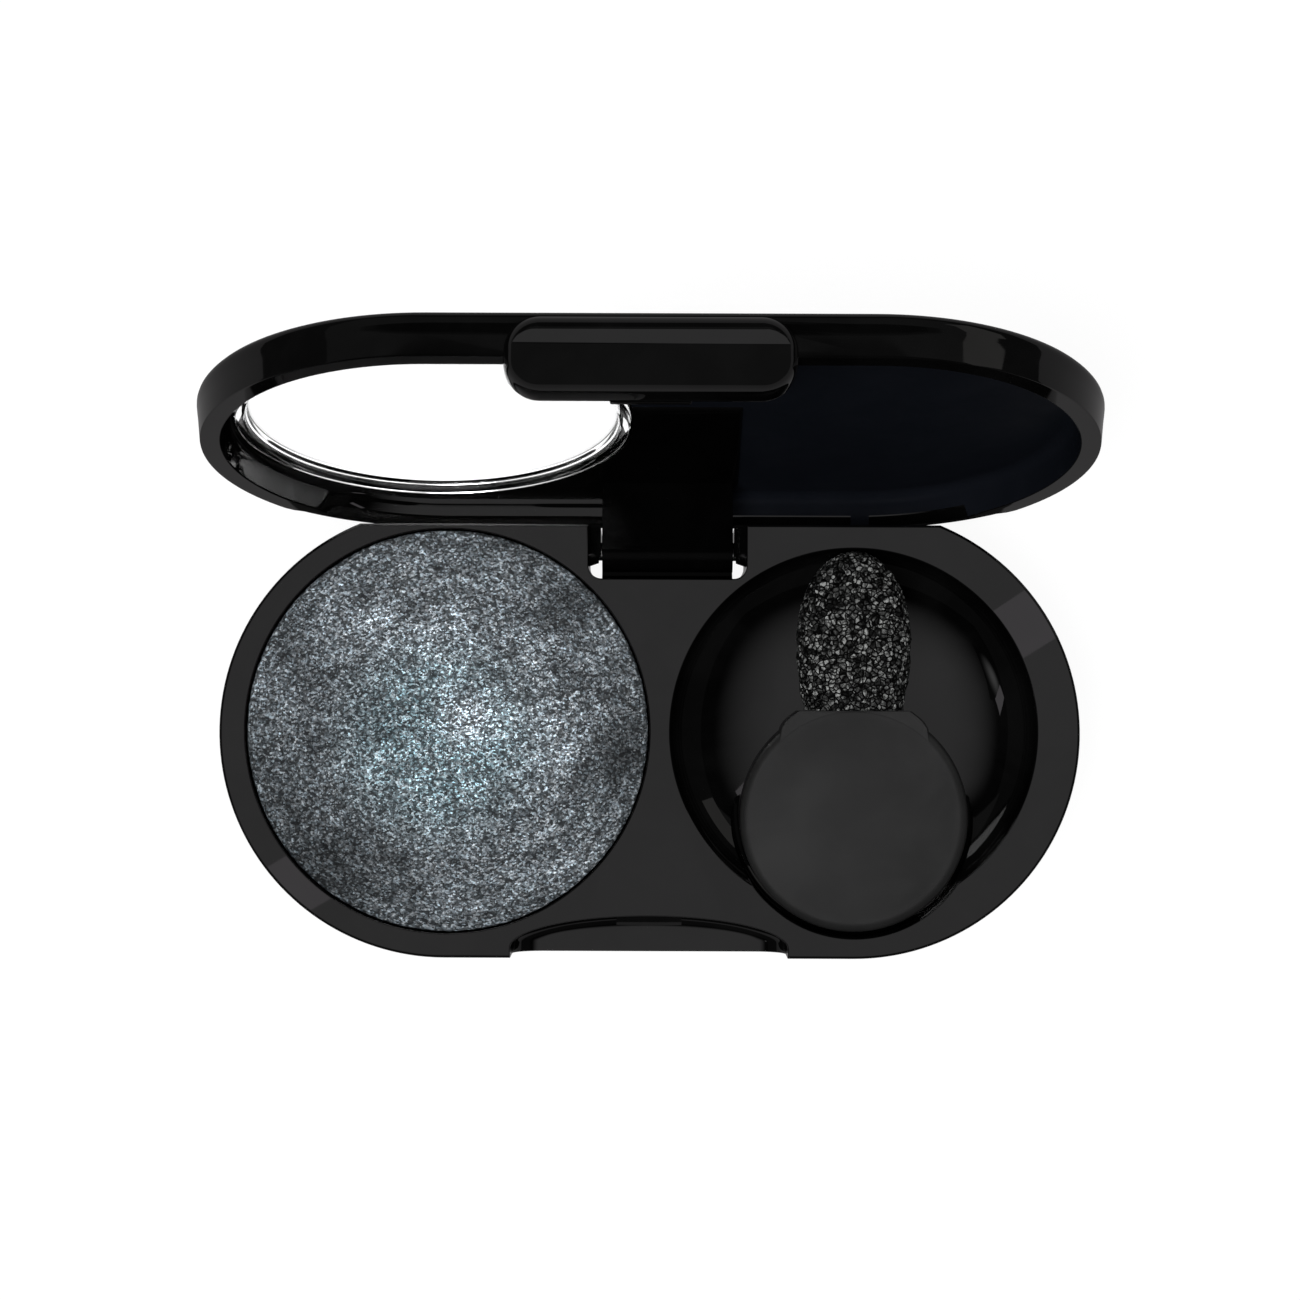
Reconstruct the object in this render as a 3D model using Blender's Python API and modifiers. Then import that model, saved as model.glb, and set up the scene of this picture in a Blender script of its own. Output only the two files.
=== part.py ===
"""Pill-shaped duo compact: baked powder, cosmetic sponge applicator and a hinged lid with a clear window.

The lid stands open. +Z is up, the hinge is at +Y, the thumb tab at -Y. The origin is the middle of the underside.
"""

import math

import bmesh
import bpy
from mathutils import Matrix, Vector

MM = 0.001

# Base, millimetres. Heights called DROP are measured down from the deck.
HALF_SPACING = 14.29
BASE_RADIUS = 15.71
BASE_HEIGHT = 9.0
REAR_CUT = 14.57
REAR_CUT_FOOT = 13.62
DECK_EDGE = 0.22
FOOT_EDGE = 0.8
ARC_STEPS = 28

# Powder side.
POWDER_CENTRE = (-14.1, 0.1)
POWDER_WELL_RADIUS = 14.1
POWDER_WELL_DROP = 4.8
PAN_RADIUS = 13.7
PAN_WALL = 0.45
PAN_BOTTOM_DROP = 4.2
PAN_RIM_DROP = 1.1
POWDER_RADIUS = 14.0
POWDER_STEM_RADIUS = 13.0
POWDER_CROWN = 0.9
POWDER_EDGE_DROP = 0.45
ADHESIVE_RADIUS = 9.0

# Applicator side.
BOWL_CENTRE = (14.22, 0.11)
BOWL_RADIUS = 12.9
BOWL_DROP = 5.0
BOWL_LIP_DROP = 0.7
BOWL_FULLNESS = 0.8
RECESS_CENTRE = (14.30, -5.65)
RECESS_RADIUS = 8.72
RECESS_DROP = 4.0
HANDLE_CENTRE = (14.28, -5.88)
HANDLE_RADIUS = 7.97
HANDLE_BOTTOM_DROP = 3.7
HANDLE_CROWN = 0.42
HANDLE_FLAT = 1.56
SPONGE_START = 1.62
SPONGE_TIP = 12.72
SPONGE_HALF_WIDTH = 4.03
SPONGE_HALF_THICKNESS = 2.15
SPONGE_DROP = 1.4
SPONGE_RISE = 0.45
TONGUE_HALF_WIDTH = 2.0
TONGUE_HALF_THICKNESS = 0.6
TONGUE_TIP = 9.6
TONGUE_GAP = 0.25

# Underside.
CAVITY_RADIUS = 14.3
CAVITY_HEIGHT = 3.2
PLATE_RADIUS = 14.0
PLATE_THICKNESS = 1.2
LABEL_CENTRE = (-14.3, 0.0)
LABEL_RADIUS = 6.0
LABEL_RECESS = 0.35
LABEL_THICKNESS = 0.12

# Front thumb notch.
NOTCH_HALF_WIDTH = 9.68
NOTCH_ARC_CENTRE = -15.02
NOTCH_ARC_DEPTH = 2.26
NOTCH_DROP = 5.9
NOTCH_COVE = 2.1
NUB_HALF_WIDTH = 2.27
NUB_FRONT = -13.46
NUB_TOP_DROP = 0.5
NUB_SLOPE_DROP = 1.25
NUB_BOTTOM_DROP = 1.65

# Hinge.
HINGE_Y = 12.467
HINGE_DROP = 2.681
HINGE_CENTRE_X = 1.21
HINGE_NOTCH_HALF = 5.52
HINGE_NOTCH_FRONT = 10.77
HINGE_NOTCH_CORNER = 0.9
OPEN_ANGLE = math.radians(108.43)
ARM_HALF_WIDTH = 4.60
BARREL_RADIUS = 1.2
ARM_REAR = 13.75
HEEL_REACH = 1.5
HEEL_TOP = -0.12
HEEL_BOTTOM = -1.15
PIN_RADIUS = 0.40
PIN_HALF_LENGTH = 7.5
PIN_CLEARANCE = 0.05
BOSS_WALL_RADIUS = 0.85
BOSS_TIP_RADIUS = 0.58
BOSS_GAP = 0.22
BRIDGE_FRONT = 12.5
BRIDGE_REAR = 13.5
BRIDGE_HEIGHT = 1.4

# Lid, heights measured up from its lip in the closed position.
LIP_GAP = 0.25
LID_LIP_RADIUS = 15.95
LID_OUT_RADIUS = 16.24
LID_OUT_HEIGHT = 2.55
LID_TOP_HEIGHT = 3.15
LID_TOP_RADIUS = 15.35
LIP_WIDTH = 1.4
LIP_FLARE = 0.5
LIP_SLOPE = math.radians(3.5)
CEILING_HEIGHT = 2.4
RELIEF_DEPTH = 0.42
RELIEF_START = 11.8
RELIEF_BLEND = 1.0
PAD_HEIGHT = 0.35
PAD_FRONT = 1.5
WINDOW_CENTRE = (-14.7, 0.0)
WINDOW_HOLE_RADIUS = 13.1
WINDOW_SEAT_RADIUS = 13.6
WINDOW_SEAT_HEIGHT = 2.72
LENS_FLANGE_RADIUS = 13.38
LENS_BOSS_RADIUS = 12.88
LENS_CLEAR_RADIUS = 12.6
LENS_INNER_HEIGHT = 1.9
LENS_STEP_HEIGHT = 2.6
LENS_PANE_HEIGHT = 2.75
LENS_OUTER_HEIGHT = 3.12
LENS_CROWN = 0.15
TAB_HALF_WIDTH = 9.33
TAB_INNER = 14.05
TAB_OUTER = 17.05
TAB_BOTTOM = -2.45
TAB_TOP = 2.75
TAB_CORNER = 2.3
BEAD_HALF_WIDTH = 2.6
BEAD_REACH = 0.35

TURN_STEPS = 60
SMOOTH_ANGLE = math.radians(30)


def material(name, colour, roughness, metallic=0.0, alpha=1.0):
    made = bpy.data.materials.new(name)
    made.use_nodes = True
    shader = made.node_tree.nodes["Principled BSDF"]
    shader.inputs["Base Color"].default_value = (*colour, 1.0)
    shader.inputs["Roughness"].default_value = roughness
    shader.inputs["Metallic"].default_value = metallic
    shader.inputs["Alpha"].default_value = alpha
    return made


def add_object(mesh, name, surface):
    """Links a mesh as a part when it has a material, and as a cutter when it has none."""
    made = bpy.data.objects.new(name, mesh)
    if surface is None:
        CUTTERS.objects.link(made)
        made.hide_render = True
        made.display_type = "WIRE"
    else:
        PARTS.objects.link(made)
        mesh.materials.append(surface)
    return made


def from_bmesh(bm, name, surface):
    """Turns a bmesh into an object with outward faces, smooth where its faces nearly agree."""
    bmesh.ops.recalc_face_normals(bm, faces=bm.faces)
    mesh = bpy.data.meshes.new(name)
    bm.to_mesh(mesh)
    bm.free()
    mesh.shade_smooth()
    mesh.set_sharp_from_angle(angle=SMOOTH_ANGLE)
    return add_object(mesh, name, surface)


def boolean(target, other, operation):
    step = target.modifiers.new(other.name, "BOOLEAN")
    step.operation = operation
    step.solver = "EXACT"
    step.object = other
    return step


def lofted(name, rings, surface=None):
    """Skins a stack of closed rings of equal length and closes both ends."""
    bm = bmesh.new()
    rows = [[bm.verts.new(Vector(point) * MM) for point in ring] for ring in rings]
    for low, high in zip(rows, rows[1:]):
        count = len(low)
        for i in range(count):
            j = (i + 1) % count
            bm.faces.new((low[i], low[j], high[j], high[i]))
    bm.faces.new(rows[0])
    bm.faces.new(rows[-1])
    return from_bmesh(bm, name, surface)


def turned(name, centre, profile, surface=None, steps=TURN_STEPS):
    """A round body about a vertical axis. The profile is (radius, height) from the top of the axis to its foot."""
    mesh = bpy.data.meshes.new(name)
    points = [Vector((r, 0.0, z)) * MM for r, z in profile]
    mesh.from_pydata(points, [(i, i + 1) for i in range(len(points) - 1)], [])
    made = add_object(mesh, name, surface)
    made.location = Vector((centre[0], centre[1], 0.0)) * MM
    screw = made.modifiers.new("turn", "SCREW")
    screw.axis = "Z"
    screw.angle = 2 * math.pi
    screw.steps = steps
    screw.render_steps = steps
    screw.use_merge_vertices = True
    screw.merge_threshold = 0.00001
    screw.use_smooth_shade = True
    return made


def rod(name, start, end, y, z, start_radius, end_radius, surface=None, steps=24):
    """A round or tapered bar along X."""
    turn = Matrix.Rotation(math.pi / 2, 4, "Y")
    move = Matrix.Translation(Vector(((start + end) / 2, y, z)) * MM)
    bm = bmesh.new()
    bmesh.ops.create_cone(
        bm,
        cap_ends=True,
        segments=steps,
        radius1=start_radius * MM,
        radius2=end_radius * MM,
        depth=(end - start) * MM,
        matrix=move @ turn,
    )
    return from_bmesh(bm, name, surface)


def box(name, low, high, surface=None):
    low = Vector(low)
    high = Vector(high)
    size = Matrix.Diagonal(((high - low) * MM).to_4d())
    size[3][3] = 1.0
    bm = bmesh.new()
    bmesh.ops.create_cube(
        bm, size=1.0, matrix=Matrix.Translation((low + high) / 2 * MM) @ size
    )
    return from_bmesh(bm, name, surface)


def prism(name, low, high, outline):
    """A bar along X between two ends, from its (y, z) outline."""
    return lofted(name, [[(x, y, z) for y, z in outline] for x in (low, high)])


def pill(radius, z, rear=None, steps=ARC_STEPS):
    """Pill outline at one height. A value for rear cuts it flat on the +Y side."""
    start = math.pi / 2
    if rear is not None and rear < radius:
        start = math.asin(rear / radius)
    angles = [
        start + (-math.pi / 2 - start) * i / (steps - 1) for i in range(steps)
    ]
    right = [
        (HALF_SPACING + radius * math.cos(a), radius * math.sin(a)) for a in angles
    ]
    left = [(-x, y) for x, y in reversed(right)]
    return [(x, y, z) for x, y in right + left]


def arc_rows(radius, start_height, end_height, steps=4):
    """Inset and height pairs along a quarter round that starts on the wall and ends on the flat."""
    rows = []
    for i in range(steps + 1):
        a = math.pi / 2 * i / steps
        inset = radius * (1 - math.cos(a))
        height = start_height + (end_height - start_height) * math.sin(a)
        rows.append((inset, height))
    return rows


def rear_at(z):
    """The flat rear wall leans in towards the foot, to clear the open lid."""
    return REAR_CUT_FOOT + (REAR_CUT - REAR_CUT_FOOT) * z / BASE_HEIGHT


def base_outline():
    foot = arc_rows(FOOT_EDGE, FOOT_EDGE, 0.0)
    deck = arc_rows(DECK_EDGE, BASE_HEIGHT - DECK_EDGE, BASE_HEIGHT, 3)
    rings = []
    for inset, z in reversed(foot):
        rings.append(pill(BASE_RADIUS - inset, z, rear_at(z) - inset))
    for inset, z in deck:
        rings.append(pill(BASE_RADIUS - inset, z, rear_at(z) - inset))
    return rings


def drop(depth):
    return BASE_HEIGHT - depth


def cut_powder_well():
    radius = POWDER_WELL_RADIUS
    floor = drop(POWDER_WELL_DROP)
    profile = [
        (0.0, BASE_HEIGHT + 1.0),
        (radius + 0.1, BASE_HEIGHT + 1.0),
        (radius + 0.1, BASE_HEIGHT),
        (radius, drop(0.12)),
        (radius - 0.2, floor + 0.35),
        (radius - 0.6, floor),
        (0.0, floor),
    ]
    return turned("cut_powder_well", POWDER_CENTRE, profile)


def bowl_profile():
    """Deep and round, with a short upright lip."""
    radius = BOWL_RADIUS - 0.12
    points = [
        (0.0, BASE_HEIGHT + 1.0),
        (BOWL_RADIUS, BASE_HEIGHT + 1.0),
        (BOWL_RADIUS, BASE_HEIGHT),
        (radius, drop(0.12)),
    ]
    count = 13
    for i in range(count):
        a = math.pi / 2 * (1 - i / count)
        sunk = (BOWL_DROP - BOWL_LIP_DROP) * math.cos(a) ** BOWL_FULLNESS
        points.append((radius * math.sin(a), drop(BOWL_LIP_DROP + sunk)))
    points.append((0.0, drop(BOWL_DROP)))
    return points


def cut_handle_recess():
    radius = RECESS_RADIUS
    floor = drop(RECESS_DROP)
    profile = [
        (0.0, BASE_HEIGHT + 1.1),
        (radius, BASE_HEIGHT + 1.1),
        (radius, BASE_HEIGHT),
        (radius - 0.1, drop(0.12)),
        (radius - 0.1, floor + 0.9),
        (radius - 0.35, floor + 0.25),
        (radius - 1.0, floor),
        (0.0, floor),
    ]
    return turned("cut_recess", RECESS_CENTRE, profile)


def notch_ring(inset, z, steps=25):
    """Thumb notch outline: a flattened half ellipse at the rear, open to the front."""
    half = NOTCH_HALF_WIDTH - inset
    depth = NOTCH_ARC_DEPTH - 0.6 * inset
    points = []
    for i in range(steps):
        a = math.pi * i / (steps - 1)
        points.append((half * math.cos(a), NOTCH_ARC_CENTRE + depth * math.sin(a), z))
    front = -BASE_RADIUS - 2.0
    return points + [(-half, front, z), (half, front, z)]


def cut_thumb_notch():
    """Upright walls above, a cove that runs out onto a flat ledge below."""
    cove = []
    for i in range(6):
        a = math.pi / 2 * i / 5
        height = drop(NOTCH_DROP) + NOTCH_COVE * (1 - math.sin(a))
        cove.append((NOTCH_COVE * (1 - math.cos(a)), height))
    rings = [notch_ring(inset, z) for inset, z in reversed(cove)]
    rings.append(notch_ring(0.0, drop(0.1)))
    rings.append(notch_ring(-0.08, drop(0.0)))
    rings.append(notch_ring(-0.08, drop(-1.0)))
    return lofted("cut_thumb_notch", rings)


def cut_hinge_notch(steps=8):
    """A slot right through the base, open to the rear, with round corners at its front."""
    corner = HINGE_NOTCH_CORNER
    low_x = HINGE_CENTRE_X - HINGE_NOTCH_HALF
    high_x = HINGE_CENTRE_X + HINGE_NOTCH_HALF
    rear = REAR_CUT + 2.0
    outline = [(high_x, rear), (low_x, rear)]
    for centre, start in ((low_x + corner, math.pi), (high_x - corner, 1.5 * math.pi)):
        for i in range(steps + 1):
            a = start + math.pi / 2 * i / steps
            x = centre + corner * math.cos(a)
            y = HINGE_NOTCH_FRONT + corner + corner * math.sin(a)
            outline.append((x, y))
    levels = (-1.0, BASE_HEIGHT + 1.0)
    return lofted("cut_hinge_notch", [[(x, y, z) for x, y in outline] for z in levels])


def hinge_surround(name, gap):
    """The block behind the underside cavity that holds the hinge."""
    side = HINGE_NOTCH_HALF + 1.1 + gap
    low = (HINGE_CENTRE_X - side, HINGE_NOTCH_FRONT - 1.1 - gap, -2.0)
    high = (HINGE_CENTRE_X + side, REAR_CUT + 2.0, BASE_HEIGHT)
    return box(name, low, high)


def notch_surround(name, gap):
    """The block behind the underside cavity that holds the thumb ledge."""
    side = NOTCH_HALF_WIDTH - 0.9 + gap
    low = (-side, -BASE_RADIUS - 2.0, -2.0)
    high = (side, -BASE_RADIUS + 2.9 + gap, BASE_HEIGHT)
    return box(name, low, high)


def cut_underside():
    rear = rear_at(0.0) - 1.2
    rings = [pill(CAVITY_RADIUS, z, rear) for z in (-1.0, CAVITY_HEIGHT)]
    made = lofted("cut_underside", rings)
    boolean(made, hinge_surround("keep_hinge", 0.0), "DIFFERENCE")
    boolean(made, notch_surround("keep_ledge", 0.0), "DIFFERENCE")
    return made


def hinge_boss(name, side):
    """A cone on the notch's wall that carries the pin up to the arm."""
    wall = HINGE_CENTRE_X + side * (HINGE_NOTCH_HALF + 0.4)
    tip = HINGE_CENTRE_X + side * (ARM_HALF_WIDTH + BOSS_GAP)
    slope = (BOSS_WALL_RADIUS - BOSS_TIP_RADIUS) / (HINGE_NOTCH_HALF - ARM_HALF_WIDTH)
    ends = sorted(((wall, BOSS_WALL_RADIUS + 0.4 * slope), (tip, BOSS_TIP_RADIUS)))
    (start, start_radius), (end, end_radius) = ends
    height = drop(HINGE_DROP)
    return rod(name, start, end, HINGE_Y, height, start_radius, end_radius)


def hinge_ear(name, side):
    """The web behind a boss, between the notch's wall and the arm."""
    near = HINGE_CENTRE_X + side * (ARM_HALF_WIDTH + BOSS_GAP + 0.04)
    far = HINGE_CENTRE_X + side * (HINGE_NOTCH_HALF + 0.4)
    outline = [
        (12.3, 1.0),
        (12.3, 6.95),
        (13.2, 7.4),
        (rear_at(8.6) - 0.03, 8.6),
        (rear_at(1.0) - 0.03, 1.0),
    ]
    return prism(name, min(near, far), max(near, far), outline)


def hinge_sill():
    """The step at the foot of the notch's front wall, below the heel."""
    half = ARM_HALF_WIDTH + 0.02
    front = HINGE_NOTCH_FRONT
    outline = [
        (front - 0.17, 0.4),
        (front - 0.17, 4.9),
        (front + 0.83, 3.6),
        (front + 0.83, 0.4),
    ]
    return prism("add_sill", HINGE_CENTRE_X - half, HINGE_CENTRE_X + half, outline)


def catch_nub():
    """The catch on the notch's rear wall, with a sloping top."""
    outline = [
        (-12.2, drop(NUB_TOP_DROP)),
        (-12.62, drop(NUB_TOP_DROP)),
        (NUB_FRONT, drop(NUB_SLOPE_DROP)),
        (NUB_FRONT, drop(NUB_BOTTOM_DROP)),
        (-12.2, drop(NUB_BOTTOM_DROP)),
    ]
    return prism("add_catch_nub", -NUB_HALF_WIDTH, NUB_HALF_WIDTH, outline)


def make_base_shell():
    shell = lofted("base_shell", base_outline(), BLACK_SATIN)
    boolean(shell, cut_powder_well(), "DIFFERENCE")
    boolean(shell, turned("cut_bowl", BOWL_CENTRE, bowl_profile()), "DIFFERENCE")
    boolean(shell, cut_handle_recess(), "DIFFERENCE")
    boolean(shell, cut_thumb_notch(), "DIFFERENCE")
    boolean(shell, cut_hinge_notch(), "DIFFERENCE")
    boolean(shell, cut_underside(), "DIFFERENCE")
    boolean(shell, catch_nub(), "UNION")
    boolean(shell, hinge_ear("add_ear_left", -1), "UNION")
    boolean(shell, hinge_ear("add_ear_right", 1), "UNION")
    boolean(shell, hinge_sill(), "UNION")
    boolean(shell, hinge_boss("add_boss_left", -1), "UNION")
    boolean(shell, hinge_boss("add_boss_right", 1), "UNION")
    half = HINGE_NOTCH_HALF + 0.5
    bridge_low = (HINGE_CENTRE_X - half, BRIDGE_FRONT, 0.35)
    bridge_high = (HINGE_CENTRE_X + half, BRIDGE_REAR, BRIDGE_HEIGHT)
    boolean(shell, box("add_bridge", bridge_low, bridge_high), "UNION")
    reach = PIN_HALF_LENGTH + 0.2
    hole = PIN_RADIUS + PIN_CLEARANCE
    start = HINGE_CENTRE_X - reach
    end = HINGE_CENTRE_X + reach
    bore = rod("cut_pin_bore", start, end, HINGE_Y, drop(HINGE_DROP), hole, hole)
    boolean(shell, bore, "DIFFERENCE")
    return shell


def make_bottom_plate():
    gap = CAVITY_RADIUS - PLATE_RADIUS
    rear = rear_at(0.0) - 1.2 - gap
    rings = [
        pill(PLATE_RADIUS - 0.2, 0.0, rear - 0.2),
        pill(PLATE_RADIUS, 0.2, rear),
        pill(PLATE_RADIUS, PLATE_THICKNESS, rear),
    ]
    plate = lofted("bottom_plate", rings, BLACK_PLATE)
    boolean(plate, hinge_surround("clear_hinge", gap), "DIFFERENCE")
    boolean(plate, notch_surround("clear_ledge", gap), "DIFFERENCE")
    radius = LABEL_RADIUS + 0.3
    profile = [(0.0, LABEL_RECESS), (radius, LABEL_RECESS), (radius, -1.0), (0.0, -1.0)]
    boolean(plate, turned("cut_label_recess", LABEL_CENTRE, profile), "DIFFERENCE")
    return plate


def disc(name, centre, radius, low, high, surface):
    profile = [(0.0, high), (radius, high), (radius, low), (0.0, low)]
    return turned(name, centre, profile, surface, 48)


def make_shade_label():
    top = LABEL_RECESS - 0.08
    low = top - LABEL_THICKNESS
    return disc("shade_label", LABEL_CENTRE, LABEL_RADIUS, low, top, LABEL)


def make_pan_adhesive():
    low = drop(POWDER_WELL_DROP) + 0.1
    high = drop(PAN_BOTTOM_DROP) - 0.1
    return disc("pan_adhesive", POWDER_CENTRE, ADHESIVE_RADIUS, low, high, ADHESIVE)


def make_powder_pan():
    bottom = drop(PAN_BOTTOM_DROP)
    rim = drop(PAN_RIM_DROP)
    inner = PAN_RADIUS - PAN_WALL
    profile = [
        (0.0, bottom + PAN_WALL),
        (inner - 0.35, bottom + PAN_WALL),
        (inner, bottom + PAN_WALL + 0.5),
        (inner, rim),
        (PAN_RADIUS, rim),
        (PAN_RADIUS, bottom + 0.7),
        (PAN_RADIUS - 0.1, bottom + 0.3),
        (PAN_RADIUS - 0.5, bottom),
        (0.0, bottom),
    ]
    return turned("powder_pan", POWDER_CENTRE, profile, ALUMINIUM)


def make_baked_powder():
    """A low dome that overhangs its pan and nearly fills the well."""
    bottom = drop(PAN_BOTTOM_DROP) + PAN_WALL + 0.15
    shoulder = drop(PAN_RIM_DROP) + 0.2
    edge = drop(POWDER_EDGE_DROP)
    rise = POWDER_CROWN + POWDER_EDGE_DROP - 0.1
    start = POWDER_RADIUS - 0.15
    count = 8
    profile = []
    for i in range(count):
        t = i / count
        profile.append((start * t, edge + 0.1 + rise * (1 - t * t)))
    profile += [
        (start, edge + 0.1),
        (POWDER_RADIUS, edge - 0.08),
        (POWDER_RADIUS - 0.2, shoulder + 0.08),
        (POWDER_STEM_RADIUS, shoulder),
        (POWDER_STEM_RADIUS, bottom + 0.7),
        (POWDER_STEM_RADIUS - 0.15, bottom + 0.25),
        (POWDER_STEM_RADIUS - 0.6, bottom),
        (0.0, bottom),
    ]
    return turned("baked_powder", POWDER_CENTRE, profile, POWDER)


def make_hinge_pin():
    start = HINGE_CENTRE_X - PIN_HALF_LENGTH
    end = HINGE_CENTRE_X + PIN_HALF_LENGTH
    height = drop(HINGE_DROP)
    radius = PIN_RADIUS
    pin = rod("hinge_pin", start, end, HINGE_Y, height, radius, radius, STEEL)
    ends = pin.modifiers.new("ends", "BEVEL")
    ends.width = 0.12 * MM
    ends.segments = 1
    ends.limit_method = "ANGLE"
    ends.angle_limit = math.radians(60)
    return pin


def oval_ring(y, half_width, half_thickness, z_middle, power=2.3, steps=28):
    """A squarish oval standing across the applicator's length."""
    points = []
    for i in range(steps):
        a = 2 * math.pi * i / steps
        c = math.cos(a)
        s = math.sin(a)
        x = half_width * math.copysign(abs(c) ** (2 / power), c)
        z = half_thickness * math.copysign(abs(s) ** (2 / power), s)
        points.append((HANDLE_CENTRE[0] + x, y, z_middle + z))
    return points


def sponge_section(t):
    """Half width and half thickness at t along the sponge, as shares of the largest."""
    base = 0.905 + 0.095 * smooth(t / 0.38)
    tip = max(0.0, (t - 0.38) / 0.62)
    rounding = math.sqrt(max(0.0, 1 - tip**2.4))
    width = base * rounding
    return width, min(1.0, width * 0.96 + 0.04)


def make_applicator_sponge(slide):
    """Blunt at the handle, widest a third of the way along, then a bullet-shaped tip."""
    middle = drop(SPONGE_DROP)
    length = SPONGE_TIP - SPONGE_START
    count = 12
    rings = []
    for i in range(count):
        t = math.sin(math.pi / 2 * i / count) * 0.995
        width, thickness = sponge_section(t)
        rings.append(
            oval_ring(
                SPONGE_START + length * t,
                SPONGE_HALF_WIDTH * width,
                SPONGE_HALF_THICKNESS * thickness,
                middle + SPONGE_RISE * t,
            )
        )
    last_width, last_thickness = sponge_section(0.998)
    rings.append(
        oval_ring(
            SPONGE_TIP,
            SPONGE_HALF_WIDTH * last_width,
            SPONGE_HALF_THICKNESS * last_thickness,
            middle + SPONGE_RISE,
        )
    )
    sponge = lofted("applicator_sponge", rings, FOAM)
    boolean(sponge, tongue("cut_pocket", TONGUE_GAP), "DIFFERENCE")
    sponge.parent = slide
    return sponge


def tongue(name, gap):
    """The flat tongue inside the sponge, or the pocket around it."""
    middle = drop(SPONGE_DROP)
    tip = TONGUE_TIP + gap
    thickness = TONGUE_HALF_THICKNESS + gap
    rings = []
    for y, share in ((0.5 - gap, 1.0), (tip - 2.0, 0.92), (tip - 0.7, 0.75), (tip, 0.4)):
        width = TONGUE_HALF_WIDTH * share + gap
        rings.append(oval_ring(y, width, thickness, middle, 3.0, 20))
    return lofted(name, rings)


def handle_profile():
    """A thick coin with a soft upper edge and a slightly domed top."""
    bottom = drop(HANDLE_BOTTOM_DROP)
    radius = HANDLE_RADIUS
    points = []
    count = 6
    for i in range(count):
        t = i / count
        height = drop(0.05) + (HANDLE_CROWN + 0.05) * (1 - t * t)
        points.append(((radius - 0.75) * t, height))
    for i in range(6):
        a = math.pi / 2 * (1 - i / 5)
        inset = 0.75 * (1 - math.cos(a))
        points.append((radius - inset, drop(0.55) + 0.5 * math.sin(a)))
    points += [(radius, bottom + 0.9), (radius - 0.3, bottom + 0.35)]
    points += [(radius - 1.1, bottom), (0.0, bottom)]
    return points


def add_shoulder():
    """The shoulders that widen the coin towards the flat where the sponge starts."""
    rings = []
    for inset, depth in ((0.0, 2.6), (0.0, 0.3), (0.05, 0.15), (0.16, 0.08)):
        right = [
            (5.35 - inset, -1.0),
            (5.15 - inset, 0.4),
            (4.6 - inset, 1.1),
            (3.85 - inset, HANDLE_FLAT + 0.1),
        ]
        outline = right + [(-x, y) for x, y in reversed(right)]
        rings.append([(HANDLE_CENTRE[0] + x, y, drop(depth)) for x, y in outline])
    return lofted("add_shoulder", rings)


def make_applicator_handle(slide):
    handle = turned("applicator_handle", HANDLE_CENTRE, handle_profile(), HANDLE_SATIN)
    boolean(handle, add_shoulder(), "UNION")
    low = (HANDLE_CENTRE[0] - 8.0, HANDLE_FLAT, drop(5.0))
    high = (HANDLE_CENTRE[0] + 8.0, HANDLE_FLAT + 3.0, drop(-2.0))
    boolean(handle, box("cut_flat", low, high), "DIFFERENCE")
    boolean(handle, tongue("add_tongue", 0.0), "UNION")
    handle.parent = slide
    return handle


def lid_z(height):
    """Height above the lip, as a height about the hinge axis with the lid closed."""
    return HINGE_DROP + LIP_GAP + height


def lid_points(ring):
    return [(x, y - HINGE_Y, z) for x, y, z in ring]


def smooth(t):
    t = min(1.0, max(0.0, t))
    return t * t * (3 - 2 * t)


def relieved(ring, amount):
    """Sets the rear of an outline in, or out where amount is negative, between two run-outs."""
    points = []
    for x, y, z in ring:
        centre = max(-HALF_SPACING, min(HALF_SPACING, x))
        away = math.hypot(x - centre, y)
        shift = amount * smooth((y - RELIEF_START) / RELIEF_BLEND + 0.5)
        scale = (away - shift) / away
        points.append((centre + (x - centre) * scale, y * scale, z))
    return points


def lid_rings():
    rings = []
    for radius, height, relief in (
        (LID_LIP_RADIUS - 0.15, 0.0, 1.0),
        (LID_LIP_RADIUS, 0.12, 1.0),
        (LID_LIP_RADIUS + 0.15, 1.4, 1.0),
        (LID_OUT_RADIUS - 0.04, 2.1, 0.6),
        (LID_OUT_RADIUS, LID_OUT_HEIGHT, 0.0),
        (LID_OUT_RADIUS - 0.14, 2.84, 0.0),
        (LID_OUT_RADIUS - 0.42, 3.05, 0.0),
        (LID_TOP_RADIUS, LID_TOP_HEIGHT, 0.0),
    ):
        ring = relieved(pill(radius, lid_z(height)), RELIEF_DEPTH * relief)
        rings.append(lid_points(ring))
    return rings


def cut_lid_cavity():
    """The hollow inside the lid. Its rear lip flares, to pass over the corners of the deck."""
    inner = LID_LIP_RADIUS - LIP_WIDTH
    rings = []
    for radius, height, flare in (
        (inner + 0.1, -1.0, LIP_FLARE),
        (inner + 0.1, 0.0, LIP_FLARE),
        (inner, 0.12, LIP_FLARE),
        (inner - 0.04, 0.85, 0.0),
        (inner - 0.12, 1.6, 0.0),
        (inner - 0.45, 2.2, 0.0),
        (inner - 1.1, CEILING_HEIGHT, 0.0),
    ):
        ring = relieved(pill(radius, lid_z(height)), -flare)
        rings.append(lid_points(ring))
    return lofted("cut_lid_cavity", rings)


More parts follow.
